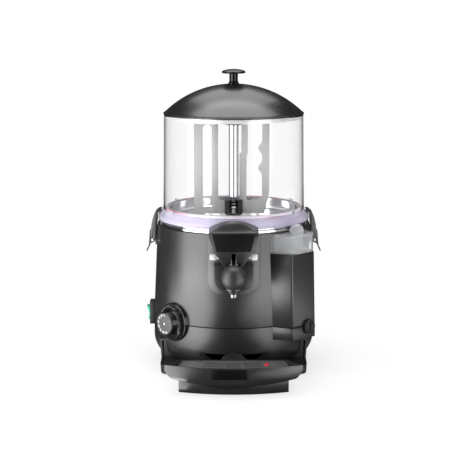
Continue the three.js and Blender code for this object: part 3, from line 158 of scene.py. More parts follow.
def spun(name, profile, steps=96, place=(0, 0), soft=None):
    """Spin (radius, height) pairs in millimetres. Soft is the angle up to which it is shaded smoothly."""
    centre = at(*place, 0)
    piece = drawn([centre + Vector((r * MM, 0, z * MM)) for r, z in profile])
    bpy.ops.mesh.spin(steps=steps, angle=math.tau, center=centre, axis=(0, 0, 1))
    bpy.ops.mesh.select_all(action="SELECT")
    bpy.ops.mesh.remove_doubles(threshold=SAME_POINT)
    bpy.ops.mesh.normals_make_consistent(inside=False)
    bpy.ops.object.mode_set(mode="OBJECT")
    settle(piece, name)
    if soft:
        smooth(piece, soft)
    return piece


def curve_points(x, z, radius, start, end, steps=6):
    """Points on a round corner, for a profile. Angles in degrees, from the +X side."""
    turn = [math.radians(start + (end - start) * i / steps) for i in range(steps + 1)]
    return [(x + radius * math.cos(a), z + radius * math.sin(a)) for a in turn]


print("spin helpers ready")

# %% [markdown]
# Other pieces keep the frame's form. A copy of the solid is merged into one clean mesh, its flat parts are
# joined into whole faces, and its sharp edges get the small radius that a moulded piece has.

# %% Copy a solid with soft edges
SAME_CORNER = 0.000005
FLAT_WITHIN = math.radians(0.6)


def softened(node, radius, segments):
    """Copy a node's solid into a new piece, with its edges rounded by a radius in millimetres."""
    source = nodes[node]
    piece = source.copy()
    piece.data = source.data.copy()
    piece.parent = None
    for key in list(piece.keys()):
        del piece[key]
    bpy.context.scene.collection.objects.link(piece)
    piece.name = node + "_skin"
    piece.data.name = piece.name
    edit(piece)
    bpy.ops.mesh.remove_doubles(threshold=SAME_CORNER)
    bpy.ops.mesh.dissolve_limited(angle_limit=FLAT_WITHIN)
    bpy.ops.object.mode_set(mode="OBJECT")
    if radius:
        bevel(piece, radius, segments)
    smooth(piece)
    return piece


def dress(piece, look, body, *replaced, slot):
    """Give a piece its finish, let it move with its body and stand for its solids."""
    piece.data.materials.clear()
    piece.data.materials.append(look)
    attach(piece, body)
    if replaced:
        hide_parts(*replaced)
    return piece


print("copy and dress helpers ready")

# %% [markdown]
# Finishes. Moulded plastic isn't one flat colour: the mould leaves a fine grain, and the gloss wanders a
# little from hands and cleaning. Each finish gets that from noise in the object's own space, at the size
# that it really has.

# %% Recipe for a moulded or polished finish
HAND_PATCH = 35
SHADE_PATCH = 9
NOISE_SPREAD = (0.3, 0.7)


def noise(tree, vector, scale, detail):
    node = tree.nodes.new("ShaderNodeTexNoise")
    node.inputs["Scale"].default_value = scale
    node.inputs["Detail"].default_value = detail
    tree.links.new(vector, node.inputs["Vector"])
    return node.outputs["Fac"]


def ranged(tree, value, spread, low=0, high=1):
    """A Map Range node that turns a value's spread into low to high."""
    node = tree.nodes.new("ShaderNodeMapRange")
    for socket, number in zip(("From Min", "From Max", "To Min", "To Max"), (*spread, low, high)):
        node.inputs[socket].default_value = number
    tree.links.new(value, node.inputs["Value"])
    return node


def finish(name, colour, roughness, grain=0.3, relief=0.02, wander=0.06, mottle=0.06, **sockets):
    """Grain and relief are the size and height of the surface grain in millimetres.

    Wander is how far the roughness moves, and mottle how far the colour does.
    """
    material = bpy.data.materials.new(name)
    material.use_nodes = True
    tree = material.node_tree
    shader = tree.nodes["Principled BSDF"]
    place = tree.nodes.new("ShaderNodeTexCoord").outputs["Object"]
    hands = noise(tree, place, 1 / (HAND_PATCH * MM), 3)
    gloss = ranged(tree, hands, NOISE_SPREAD, roughness - wander / 2, roughness + wander / 2)
    tree.links.new(gloss.outputs["Result"], shader.inputs["Roughness"])
    if mottle:
        shade = tree.nodes.new("ShaderNodeMix")
        shade.data_type = "RGBA"
        shade.inputs["A"].default_value = [c * (1 - mottle) for c in colour] + [1]
        shade.inputs["B"].default_value = [min(1, c * (1 + mottle)) for c in colour] + [1]
        patches = ranged(tree, noise(tree, place, 1 / (SHADE_PATCH * MM), 4), NOISE_SPREAD)
        tree.links.new(patches.outputs["Result"], shade.inputs["Factor"])
        tree.links.new(shade.outputs["Result"], shader.inputs["Base Color"])
    else:
        shader.inputs["Base Color"].default_value = (*colour, 1)
    bump = tree.nodes.new("ShaderNodeBump")
    bump.inputs["Distance"].default_value = relief * MM
    tree.links.new(noise(tree, place, 1 / (grain * MM), 2), bump.inputs["Height"])
    tree.links.new(bump.outputs["Normal"], shader.inputs["Normal"])
    for socket, value in sockets.items():
        shader.inputs[socket.replace("_", " ")].default_value = value
    return material


SATIN = finish("anthracite_satin", (0.011, 0.011, 0.0115), 0.35, grain=0.5, relief=0.012,
               Specular_IOR_Level=1.0)
LID_DARK = finish("lid_dark_satin", (0.010, 0.010, 0.0105), 0.27, grain=0.5, relief=0.01,
                  Specular_IOR_Level=1.0)
BLACK = finish("black_moulded", (0.012, 0.012, 0.013), 0.42, grain=0.6, relief=0.02)
GLOSS = finish("black_gloss", (0.006, 0.006, 0.007), 0.16, grain=2.0, relief=0.004)
STEEL = finish("polished_steel", (0.78, 0.78, 0.8), 0.12, grain=0.8, relief=0.003, Metallic=1)
SKIRT_STEEL = finish("lid_skirt_steel", (0.6, 0.6, 0.6), 0.3, grain=0.8, relief=0.002, Metallic=0.3)
CHROME = finish("column_chrome", (0.82, 0.82, 0.84), 0.06, grain=3.0, relief=0.002, Metallic=1)
BLADE = finish("blade_grey", (0.36, 0.36, 0.355), 0.42, grain=0.8, relief=0.01, mottle=0.03)
PALE = finish("pale_cap", (0.72, 0.72, 0.69), 0.35, grain=0.8, relief=0.01)
SEAL = finish("red_seal", (0.7, 0.68, 0.75), 0.35, grain=0.8, relief=0.01)
ZINC = finish("plated_metal", (0.4, 0.41, 0.42), 0.4, grain=0.8, relief=0.02, Metallic=1)
RUBBER = finish("black_rubber", (0.012, 0.012, 0.012), 0.75, grain=0.5, relief=0.03)
GREEN = finish("green_lens", (0.07, 0.5, 0.35), 0.2, grain=1.5, relief=0.005)
RED = finish("red_float", (0.75, 0.012, 0.045), 0.25, grain=1.5, relief=0.005)
PLATE_BLACK = finish("plate_black", (0.003, 0.003, 0.0032), 0.4, grain=1.5, relief=0.004,
                     Specular_IOR_Level=0.25)
BALL_DULL = finish("ball_dull_black", (0.018, 0.018, 0.018), 0.46, grain=0.8, relief=0.008,
                   Specular_IOR_Level=0.7)
DIAL_FACE = finish("dial_face_grey", (0.07, 0.07, 0.072), 0.6, grain=0.6, relief=0.02)
WHITE_PRINT = finish("white_print", (0.8, 0.8, 0.8), 0.5, grain=0.5, relief=0.005)
LATCH_BLACK = finish("latch_black", (0.02, 0.02, 0.021), 0.36, grain=0.5, relief=0.02,
                     Specular_IOR_Level=0.8)
GRILLE_SATIN = finish("grille_satin", (0.11, 0.11, 0.112), 0.35, grain=0.5, relief=0.01)
print("opaque finishes made")

# %% [markdown]
# Clear plastic lets the light through, bends it a little and shows its thickness as darker edges. It bends
# it less here than in reality, so that the mirror images of the lamps stay faint. The flange and the filler
# cup let only a part of the light through, as milky plastic does. The red seal lies behind the flange, so
# its colour is seen in drawn-out patches, which are laid over its pale finish.

# %% Clear plastics
STREAK_SCALE = (13, 13, 420)
STREAK_SPREAD = (0.5, 0.64)


def clear_plastic(name, tint, roughness, ior=1.2, clearness=1.0):
    material = finish(name, tint, roughness, grain=25.0, relief=0.02, wander=0.01, mottle=0.0)
    shader = material.node_tree.nodes["Principled BSDF"]
    shader.inputs["Transmission Weight"].default_value = clearness
    shader.inputs["IOR"].default_value = ior
    return material


def red_streaks(material, colour):
    """Lay drawn-out red patches over a finish, as a seal shows through the thick clear flange."""
    tree = material.node_tree
    shader = tree.nodes["Principled BSDF"]
    plain = shader.inputs["Base Color"].links[0].from_socket
    place = tree.nodes.new("ShaderNodeTexCoord")
    stretch = tree.nodes.new("ShaderNodeMapping")
    stretch.inputs["Scale"].default_value = STREAK_SCALE
    tree.links.new(place.outputs["Object"], stretch.inputs["Vector"])
    share = ranged(tree, noise(tree, stretch.outputs["Vector"], 1.0, 2), STREAK_SPREAD)
    mixed = tree.nodes.new("ShaderNodeMix")
    mixed.data_type = "RGBA"
    tree.links.new(share.outputs["Result"], mixed.inputs["Factor"])
    tree.links.new(plain, mixed.inputs["A"])
    mixed.inputs["B"].default_value = [*colour, 1]
    tree.links.new(mixed.outputs["Result"], shader.inputs["Base Color"])


red_streaks(SEAL, (0.5, 0.2, 0.28))
CLEAR = clear_plastic("moulded_clear", (0.98, 0.985, 0.99), 0.012)
BOWL_CLEAR = clear_plastic("bowl_clear", (0.985, 0.985, 0.99), 0.012)
FLANGE_CLEAR = clear_plastic("flange_clear", (0.8, 0.77, 0.89), 0.03, clearness=0.7)
CUP_CLEAR = clear_plastic("cup_clear", (0.93, 0.94, 0.95), 0.03, clearness=0.88)
print("clear plastics made")

# %% [markdown]
# Every solid gets a finish now, by the slot it has in the record. Better pieces replace many of them later.

# %% First finishes
SLOT_FINISH = {
    "satin_anthracite_plastic": SATIN, "black_plastic": BLACK, "gloss_black_plastic": GLOSS,
    "polished_steel": STEEL, "clear_plastic": CLEAR, "red_seal": SEAL, "grey_blade_plastic": BLADE,
    "pale_plastic": PALE, "green_rocker": GREEN, "red_float": RED, "plated_metal": ZINC,
    "black_rubber": RUBBER,
}
slot_of = {part["node"]: part["material_slot"] for part in frame["record"]["subparts"]}
for node_name, solid in nodes.items():
    solid.data.materials.clear()
    solid.data.materials.append(SLOT_FINISH[slot_of[node_name]])
print("finished solids:", len(nodes))

# %% [markdown]
# Flat-sided pieces start as an outline. Its corners are placed one after the other, the outline is filled,
# and the face is drawn out to the depth of the piece, as a plate is cut and then given its thickness.

# %% Draw an outline and give it depth
def traced(name, points, depth):
    """Points and depth are vectors in metres. The outline closes by itself."""
    piece = drawn(points)
    bpy.ops.mesh.remove_doubles(threshold=SAME_POINT)
    bpy.ops.mesh.edge_face_add()
    bpy.ops.mesh.extrude_region_move(TRANSFORM_OT_translate={"value": depth})
    bpy.ops.mesh.select_all(action="SELECT")
    bpy.ops.mesh.normals_make_consistent(inside=False)
    bpy.ops.object.mode_set(mode="OBJECT")
    return settle(piece, name)


def turned(point, degrees):
    """Turn a millimetre point about the drum's axis, anticlockwise seen from above."""
    angle = math.radians(degrees)
    x, y, z = point
    along = x * math.cos(angle) - y * math.sin(angle)
    back = x * math.sin(angle) + y * math.cos(angle)
    return at(along, back, z)


def rectangle(left, right, low, high):
    return [(left, low), (right, low), (right, high), (left, high)]


def cut(piece, tool):
    """Take one closed piece out of another and throw the tool away."""
    modifier = piece.modifiers.new("cut", "BOOLEAN")
    modifier.operation = "DIFFERENCE"
    modifier.solver = "EXACT"
    modifier.object = tool
    apply_all(piece)
    bpy.data.objects.remove(tool)
    return piece


print("outline helpers ready")

# %% [markdown]
# The drum is two shells of dark plastic that meet in a thin groove. The lower one is a straight tub with a
# large round edge at its foot, and the upper one narrows a little towards the bowl. Both are spun in fine
# steps, because a broad soft highlight runs down them, and it would show every facet. The notch in front
# is where the drip tray hooks in.

# %% Drum shells
SEAM = 76.0
HALF_GROOVE = 0.25
DRUM_RADIUS = 128.0
DRUM_FOOT = 5
SHAFT_HOLE = 8
SHELL_TOP = 221.2
SHELL_TOP_RADIUS = 121.5
WALL = 3.0
EDGE_ROUND = 1
FOOT_ROUND = 36.0
NOTCH_HALF = 52
NOTCH_LOW = 14
NOTCH_HIGH = 35.5
NOTCH_FRONT = -140
NOTCH_DEPTH = 24
DRUM_STEPS = 192


def lower_drum():
    middle = (DRUM_RADIUS - FOOT_ROUND, DRUM_FOOT + FOOT_ROUND)
    outer = curve_points(*middle, FOOT_ROUND, -90, 0, 18)
    inner = curve_points(*middle, FOOT_ROUND - WALL, 0, -90, 18)
    edge = SEAM - HALF_GROOVE
    lip = curve_points(DRUM_RADIUS - EDGE_ROUND, edge - EDGE_ROUND, EDGE_ROUND, 0, 90, 4)
    profile = [(SHAFT_HOLE, DRUM_FOOT)] + outer + lip + [(DRUM_RADIUS - WALL, edge)]
    profile += inner + [(SHAFT_HOLE, DRUM_FOOT + WALL)]
    drum = spun("lower_drum_skin", profile, DRUM_STEPS)
    corners = rectangle(-NOTCH_HALF, NOTCH_HALF, NOTCH_LOW, NOTCH_HIGH)
    notch = [at(x, NOTCH_FRONT, z) for x, z in corners]
    cut(drum, traced("notch_tool", notch, Vector((0, NOTCH_DEPTH * MM, 0))))
    smooth(drum, 30)
    return drum


def upper_drum():
    edge = SEAM + HALF_GROOVE
    lip = curve_points(DRUM_RADIUS - EDGE_ROUND, edge + EDGE_ROUND, EDGE_ROUND, -90, 0, 4)
    top = curve_points(SHELL_TOP_RADIUS - EDGE_ROUND, SHELL_TOP - EDGE_ROUND, EDGE_ROUND, 0, 90, 4)
    profile = lip + top + [(SHELL_TOP_RADIUS - WALL, SHELL_TOP), (DRUM_RADIUS - WALL, edge)]
    return spun("upper_drum_skin", profile, DRUM_STEPS, soft=30)


LOWER_DRUM = lower_drum()
UPPER_DRUM = upper_drum()
print("drum shells:", len(LOWER_DRUM.data.polygons), len(UPPER_DRUM.data.polygons))

# %% [markdown]
# The filler column stands at the right front corner and is moulded in one with the shells, so the seam
# groove runs on round it. In plan it is a trapezoid that widens towards the drum, and it leans in a little
# with its height. Its outline is drawn at the foot and drawn out along the leaning line.

# %% Filler column
COLUMN_ANGLE = 45
COLUMN_FOOT = 55.5
COLUMN_TOP = 190
COLUMN_REACH = 155.0
COLUMN_REACH_TOP = 150.2
COLUMN_HALF = 25.5
COLUMN_LEAN = (COLUMN_REACH - COLUMN_REACH_TOP) / (SHELL_TOP - COLUMN_FOOT)
COLUMN_FLARE = 0.36
COLUMN_ROOT = 108.0
COLUMN_ROUND = 2.6
OUTER_CORNER = 140
UPRIGHT_EDGE = 5


def soften_edges(part, radius):
    """Round the outer upright edges most, and the others by a third of it."""
    edit(part, "DESELECT")
    bpy.ops.object.mode_set(mode="OBJECT")
    axis = at(0, 0, 0)
    for edge in part.data.edges:
        a, b = (part.data.vertices[i].co for i in edge.vertices)
        outward = max((a - axis).xy.length, (b - axis).xy.length) > OUTER_CORNER * MM
        edge.select = abs(a.z - b.z) > UPRIGHT_EDGE * MM and outward
    bpy.ops.object.mode_set(mode="EDIT")
    bpy.ops.mesh.select_mode(type="EDGE")
    bpy.ops.mesh.bevel(offset=radius * MM, segments=5)
    bpy.ops.mesh.select_mode(type="VERT")
    bpy.ops.object.mode_set(mode="OBJECT")
    bevel(part, radius / 3, 2, 60)
    smooth(part, 40)


def column_part(name, low, high):
    """One length of the column between two heights."""
    root = COLUMN_HALF + (COLUMN_REACH - COLUMN_ROOT) * COLUMN_FLARE
    shift = COLUMN_LEAN * (low - COLUMN_FOOT)
    outline = [(-root, -COLUMN_ROOT), (root, -COLUMN_ROOT)]
    outline += [(COLUMN_HALF, -COLUMN_REACH), (-COLUMN_HALF, -COLUMN_REACH)]
    points = [turned((x, y + shift, low), COLUMN_ANGLE) for x, y in outline]
    top = turned((0, COLUMN_LEAN * (high - low), high - low), COLUMN_ANGLE)
    part = traced(name, points, top - turned((0, 0, 0), COLUMN_ANGLE))
    soften_edges(part, COLUMN_ROUND)
    return part


COLUMN_LOW = column_part("filler_column_lower", COLUMN_FOOT, SEAM - HALF_GROOVE)
COLUMN_HIGH = column_part("filler_column_upper", SEAM + HALF_GROOVE, COLUMN_TOP)
for piece, node in ((LOWER_DRUM, "lower_shell"), (COLUMN_LOW, "lower_shell"),
                    (UPPER_DRUM, "upper_shell"), (COLUMN_HIGH, "upper_shell")):
    dress(piece, SATIN, "machine", node, slot="satin_anthracite_plastic")
print("filler column faces:", len(COLUMN_LOW.data.polygons), len(COLUMN_HIGH.data.polygons))

# %% [markdown]
# The water tank ends in a turned rim of polished steel, which shows as a bright band under the bowl. The
# basin that closes the tank is pressed from the same sheet. Both are spun from their sheet's outline.

# %% Tank rim and basin
SHEET_STEPS = 144


def tank():
    rim = curve_points(117.4, 224.4, 2.1, 0, 90, 8)
    inner_rim = curve_points(117.4, 224.4, 0.9, 90, 0, 8)
    outside = [(119.5, 222.2)] + rim
    outside += [(112.5, 226.5), (112.5, 134), (110.5, 130), (9.5, 130), (9.5, 215)]
    inside = [(10.7, 215), (10.7, 131.2), (109.9, 131.2), (111.3, 134.5), (111.3, 225.3)]
    return spun("tank_skin", outside + inside + inner_rim + [(118.3, 222.2)], SHEET_STEPS, soft=30)


def basin():
    outside = [(5.2, 228.8), (96.6, 228.8), (102.7, 233.4), (102.7, 244.8), (103.8, 244.8),
               (103.8, 226.8), (118, 226.8), (118, 228)]
    inside = [(105, 228), (105, 245.2), (104.2, 246), (102.3, 246), (101.5, 245.2), (101.5, 234),
              (96, 230), (5.2, 230)]
    return spun("basin_skin", outside + inside, SHEET_STEPS, soft=30)


TANK = dress(tank(), STEEL, "machine", "water_tank", slot="polished_steel")
BASIN = dress(basin(), STEEL, "machine", "chocolate_basin", slot="polished_steel")
print("steel faces:", len(TANK.data.polygons), len(BASIN.data.polygons))

# %% [markdown]
# The bowl is clear plastic: a straight wall that swells at the foot into a thick flange, which carries
# four small lugs. The wall is spun closed, with an inside and an outside, because light bends only where
# it passes through both. The flange looks milky and lilac on the real bowl, so it is a piece of its own
# here, with a hair's breadth between it and the wall. The seal stands inside it.

# %% Bowl and seal
FLANGE_TOP = 244.0
SPLIT = 0.05
BOWL_INSIDE = 109.5
LUG_ANGLES = (57, -57, 123, -123)
LUG_FOOT = 236
LUG_HEIGHT = 12


def bowl():
    outside = [(112.7, FLANGE_TOP + SPLIT), (112.4, 246), (112, 250), (111.3, 300), (110.2, 393.6)]
    rim = curve_points(108.95, 393.3, 1.25, 15, 165, 6)
    inside = [(107.7, 392), (108.8, 300), (BOWL_INSIDE, 250), (BOWL_INSIDE, FLANGE_TOP + SPLIT)]
    return spun("bowl_skin", outside + rim + inside, DRUM_STEPS, soft=50)


def bowl_flange():
    profile = [(BOWL_INSIDE, 228.3), (119, 228.3), (120, 229.3), (120, 235), (119.2, 236.4),
               (115.6, 239), (113.4, 242), (112.7, FLANGE_TOP), (BOWL_INSIDE, FLANGE_TOP)]
    return spun("bowl_flange", profile, DRUM_STEPS, soft=50)


def bowl_lugs():
    lugs = []
    rise = Vector((0, 0, LUG_HEIGHT * MM))
    for number, angle in enumerate(LUG_ANGLES, 1):
        corners = [turned((x, y, LUG_FOOT), angle) for x, y in rectangle(-3.5, 3.5, -110.8, -116)]
        lug = traced("bowl_lug_" + str(number), corners, rise)
        bevel(lug, 1.0, 3)
        smooth(lug)
        lugs.append(lug)
    return lugs


BOWL = dress(bowl(), BOWL_CLEAR, "machine", "bowl", slot="clear_plastic")
dress(bowl_flange(), FLANGE_CLEAR, "machine", "bowl", slot="clear_plastic")
for lug in bowl_lugs():
    dress(lug, CUP_CLEAR, "machine", "bowl", slot="clear_plastic")
SEAL_PROFILE = [(105.3, 228.4), (108.9, 228.4), (108.9, 245.8), (107.6, 247.4), (105.9, 247.4),
                (105.3, 246.6)]
SEAL_PIECE = spun("seal_skin", SEAL_PROFILE, SHEET_STEPS, soft=40)
dress(SEAL_PIECE, SEAL, "machine", "seal_ring", slot="red_seal")
print("bowl faces:", len(BOWL.data.polygons))

# %% [markdown]
# The lid is a thin dome with a small outward lip. A ring of bright sheet below the lip centres it in the
# bowl. The knob is a short stem with a mushroom cap, and its gloss sets it off from the satin dome.

# %% Lid and knob
DOME_RADIUS = 157.0
DOME_TOP = 442.0
DOME_WALL = 1.5
CAP_RADIUS = 18.9
CAP_RIM = 460.3
CAP_RISE = 4.7


def dome_points(start, end, drop, steps=16):
    """Points on the dome's arc, or on one that lies lower by a drop, from one radius to another."""
    centre = DOME_TOP - DOME_RADIUS
    radii = [start + (end - start) * i / steps for i in range(steps + 1)]
    return [(r, centre + math.sqrt((DOME_RADIUS - drop) ** 2 - r * r)) for r in radii]


def lid_dome():
    lip = curve_points(110.15, 396.05, 1.25, 90, -90, 6)
    profile = dome_points(2.3, 107.6, 0) + [(108.6, 398.4), (109.1, 397.5)] + lip
    profile += [(106.4, 394.9), (106.1, 395.6)] + dome_points(105.6, 2.3, DOME_WALL)
    return spun("lid_dome_skin", profile, DRUM_STEPS, soft=40)


def knob_cap():
    turns = [math.radians(a) for a in range(10, 90, 8)]
    crown = [(CAP_RADIUS * math.cos(a), CAP_RIM + CAP_RISE * math.sin(a)) for a in turns]
    under = [(0.4, 458.1), (6.9, 458.1), (16.8, 458.5), (18.3, 459.1), (CAP_RADIUS, 460.1)]
    profile = under + crown + [(0.4, CAP_RIM + CAP_RISE)]
    return spun("knob_cap_skin", profile, soft=60)


def knob_stem():
    waist = [(8.5, 442.3), (8.5, 443.4), (7.4, 444.4), (6.9, 446), (6.7, 450), (6.9, 457.7)]
    profile = [(0.4, 434.3), (1.9, 434.3), (1.9, 442.3)] + waist + [(0.4, 457.7)]
    return spun("knob_stem_skin", profile, 72, soft=40)


dress(lid_dome(), LID_DARK, "lid", "lid_dome", slot="satin_anthracite_plastic")
SKIRT_PROFILE = [(105.5, 388.6), (106.8, 388.4), (107, 388.8), (107, 394.5), (105.5, 394.5)]
SKIRT = spun("lid_skirt_skin", SKIRT_PROFILE, DRUM_STEPS, soft=30)
dress(SKIRT, SKIRT_STEEL, "lid", "lid_skirt", slot="polished_steel")
dress(knob_cap(), GLOSS, "lid", "knob_cap", slot="gloss_black_plastic")
dress(knob_stem(), GLOSS, "lid", "knob_stem", slot="gloss_black_plastic")
print("lid pieces made")

# %% [markdown]
# Many moulded pieces keep the frame's own form and only need their edges softened. The record says which
# body each one rides on, so that a short call with the finish is enough for them.

# %% Soft-edged copies of plain pieces
body_of = {}
for body, group in frame["record"]["behaviour"]["bodies"].items():
    for node in group:
        body_of[node] = body


def restyle(node, radius, look, segments=2):
    """Put a soft-edged copy in a node's place, in a finish of its own."""
    piece = softened(node, radius, segments)
    return dress(piece, look, body_of[node], node, slot=slot_of[node])


print("bodies:", len(set(body_of.values())))

# %% [markdown]
# The tap sits on a raised U-shaped panel. Over it hangs a dark head with a shallow crown, which a flat
# black plate covers in front. The plate stays bare. Its edges are softened so that they catch a thin line
# of light.

# %% Tap head and body
FRONT = Vector((0, -1, 0))
SPOUT_REACH = 158
PLATE_REACH = 172.3
PLATE_CORNERS = [(-32.2, 231), (32.2, 231), (25.8, 204.2), (-25.8, 204.2)]
for node, radius in (("tap_panel", 0.7), ("tap_block", 1.2), ("tap_barrel", 0.4), ("tap_head", 0.9)):
    restyle(node, radius, SATIN)
for node, radius in (("barrel_cap", 0.3), ("nozzle_collar", 0.4), ("lever", 0.4)):
    restyle(node, radius, BLACK)


def out(x, height, reach, angle=0):
    """A point that is x to the right and reach in front of the drum's axis, turned right by an angle."""
    return turned((x, -reach, height), angle)


def head_plate():
    corners = [out(x, z, PLATE_REACH) for x, z in PLATE_CORNERS]
    plate = traced("head_plate_skin", corners, FRONT * MM)
    bevel(plate, 0.35, 3)
    smooth(plate)
    return plate


dress(head_plate(), PLATE_BLACK, "machine", "head_plate", slot="black_plastic")
TIP = [(3, 131.3), (4.2, 131.3), (4.6, 132), (4.9, 134.5), (4.8, 137.3), (3, 137.3)]
TIP_PIECE = spun("spout_tip_skin", TIP, 48, place=(0, -SPOUT_REACH), soft=50)
dress(TIP_PIECE, ZINC, "machine", "spout_tip", slot="polished_steel")
print("tap body dressed")

# %% [markdown]
# The ball knob is a smooth dull ball on the lever. It starts as a sphere, and a socket is cut where the
# lever goes in. The hinge pin ends in two pale caps, each spun with a soft dome.

# %% Ball knob and hinge pin
PIN_REACH, PIN_HEIGHT = 146.0, 191.5
BALL_REACH, BALL_HEIGHT = 194.0, 169.7
BALL_RADIUS = 18.7
LEVER_LENGTH = math.hypot(BALL_REACH - PIN_REACH, PIN_HEIGHT - BALL_HEIGHT)
RIGHT = Vector((1, 0, 0))
SOCKET_START = 20
SOCKET_END = LEVER_LENGTH - BALL_RADIUS + 9.3
SOCKET_HALF_HEIGHT = 3.8
SOCKET_HALF_WIDTH = 2.8
CAP_START = 27


def ball_knob():
    deselect()
    middle = out(0, BALL_HEIGHT, BALL_REACH)
    pin = out(0, PIN_HEIGHT, PIN_REACH)
    size = BALL_RADIUS * MM
    bpy.ops.mesh.primitive_uv_sphere_add(segments=96, ring_count=48, radius=size, location=middle)
    ball = settle(bpy.context.object, "ball_knob_skin")
    along = (middle - pin).normalized()
    across = RIGHT.cross(along)
    start = pin - RIGHT * SOCKET_HALF_WIDTH * MM
    corners = rectangle(SOCKET_START, SOCKET_END, -SOCKET_HALF_HEIGHT, SOCKET_HALF_HEIGHT)
    socket = [start + along * s * MM + across * h * MM for s, h in corners]
    cut(ball, traced("socket_tool", socket, RIGHT * 2 * SOCKET_HALF_WIDTH * MM))
    smooth(ball, 40)
    return ball


def spun_along(name, profile, base, direction, steps=64):
    """Spin (radius, distance) pairs, then lay the axis from a base point along a direction."""
    piece = spun(name, profile, steps, place=(0, -AXIS_Y))
    piece.rotation_euler = Vector(direction).to_track_quat("Z", "Y").to_euler()
    piece.location = base
    return settle(piece, name)


dress(ball_knob(), BALL_DULL, "tap_lever", "ball_knob", slot="black_plastic")
CAP = [(0.3, 0), (4.6, 0), (4.8, 0.4), (4.8, 6.8), (4.5, 7.9), (3.6, 8.6), (2, 8.95), (0.3, 9)]
for side in (-1, 1):
    cap = spun_along("pin_cap_" + ("left" if side < 0 else "right"), CAP,
                     out(CAP_START * side, PIN_HEIGHT, PIN_REACH), RIGHT * side, 48)
    smooth(cap, 50)
    dress(cap, PALE, "machine", "lever_pin", slot="pale_plastic")
ROD_PROFILE = [(0.3, 0), (2.7, 0), (3, 0.3), (3, 54.3), (2.7, 54.6), (0.3, 54.6)]
ROD = spun_along("hinge_rod", ROD_PROFILE, out(-27.3, PIN_HEIGHT, PIN_REACH), RIGHT, 32)
smooth(ROD)
dress(ROD, PALE, "machine", "lever_pin", slot="pale_plastic")
print("ball and pin made")

# %% [markdown]
# The spring over the tap's piston sits still at its upper end. On the real tap, when the lever lifts the
# piston, the spring is pressed together by as much as the piston rises. Here its height up to that end is
# measured, and it is not pressed.

# %% Piston spring
SPRING_TOP = 174.0


def piston_spring():
    spring = restyle("piston_spring", 0, STEEL)
    foot = min((spring.matrix_world @ corner.co).z for corner in spring.data.vertices)
    seat = at(0, -SPOUT_REACH, SPRING_TOP)
    height = seat.z - foot
    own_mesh(spring)
    return height


print("spring height in metres:", round(piston_spring(), 4))

# %% [markdown]
# The thermostat is a glossy stepped ring with a dial knob in it. The knob's face carries the numbers of
# the scale, round the side that shows, and a white dot in the middle. The numbers are text objects turned
# into mesh.

# %% Thermostat
DIAL_ANGLE = -46.7
DIAL_HEIGHT = 77.5
DIAL_AXIS = out(0, 0, 1, DIAL_ANGLE) - out(0, 0, 0, DIAL_ANGLE)
DIAL_FRONT = 148
PRINT_HEIGHT = 0.00004
SCALE_START = 88
SCALE_STEP = 29


def dial_spun(name, profile, steps=96):
    piece = spun_along(name, profile, out(0, DIAL_HEIGHT, 0, DIAL_ANGLE), DIAL_AXIS, steps)
    smooth(piece, 40)
    return piece


BEZEL = [(3.6, 120), (30.3, 120), (30.3, 129.8), (29.7, 130.9), (28.8, 131.2), (28.3, 131.2), (28, 131.6),
         (28, 132.3), (27.4, 133), (26.9, 133), (26.4, 132.4), (25.9, 132.4), (25.3, 133), (3.6, 133)]
KNOB = [(0.4, 129.2), (2.9, 129.2), (2.9, 133.3), (25.4, 133.3), (26, 133.8), (26, 135.2), (25.4, 135.9),
        (20.4, 135.9), (19.4, 136.4), (19, 137.4), (18.7, 146.9), (18.2, 147.7), (17.5, 148),
        (16.9, 147.8), (0.4, 147.8)]
dress(dial_spun("dial_bezel_skin", BEZEL), GLOSS, "machine", "dial_bezel", slot="gloss_black_plastic")
dress(dial_spun("dial_knob_skin", KNOB), GLOSS, "dial", "dial_knob", slot="gloss_black_plastic")


def on_dial(radius, degrees, reach):
    """A point on the dial at an angle from its own right-hand side."""
    turn = math.radians(degrees)
    return out(radius * math.cos(turn), DIAL_HEIGHT + radius * math.sin(turn), reach, DIAL_ANGLE)


def face_disc():
    profile = [(0.3, 147.82), (16.7, 147.82), (16.8, 147.9), (16.7, 147.98), (0.3, 147.98)]
    dress(dial_spun("dial_face", profile), DIAL_FACE, "dial", "dial_knob", slot="gloss_black_plastic")


def dial_number(text, degrees, size=4.6, radius=13.4):
    deselect()
    bpy.ops.object.text_add(location=(0, 0, 0))
    number = bpy.context.object
    number.data.body = text
    number.data.size = size * MM
    number.data.align_x = "CENTER"
    number.data.align_y = "CENTER"
    number.data.extrude = PRINT_HEIGHT
    bpy.ops.object.convert(target="MESH")
    number = bpy.context.object
    face = DIAL_AXIS.to_track_quat("Z", "Y").to_matrix().to_4x4()
    tilt = Matrix.Rotation(math.radians(degrees - 90), 4, "Z")
    number.matrix_world = Matrix.Translation(on_dial(radius, degrees, DIAL_FRONT)) @ face @ tilt
    settle(number, "dial_number_" + text)
    dress(number, WHITE_PRINT, "dial", slot="pale_plastic")


face_disc()
for step, text in enumerate(("0", "30", "40", "50", "60", "70", "80", "90")):
    dial_number(text, SCALE_START + SCALE_STEP * step)
DOT = dial_spun("dial_dot", [(0.1, 147.98), (1.5, 147.98), (1.4, 148.06), (0.1, 148.06)], 32)
dress(DOT, WHITE_PRINT, "dial", slot="pale_plastic")
print("thermostat made")

# %% [markdown]
# The power switch is a rocker in a black frame at the left side. The rocker is a green lens with a dip in
# the middle. A lamp behind it shines when the real machine is on, and here it is off.

# %% Power switch
restyle("switch_housing", 0.8, BLACK, 3)
restyle("rocker", 0.6, GREEN, 3)
print("switch dressed")

# %% [markdown]
# The agitator's two blades are flat grey plastic. Each is traced as an outline, its opening is cut out,
# and all its edges are rounded a little. The left blade has a long slot, and the right one a loop with two
# waves on its inner side.

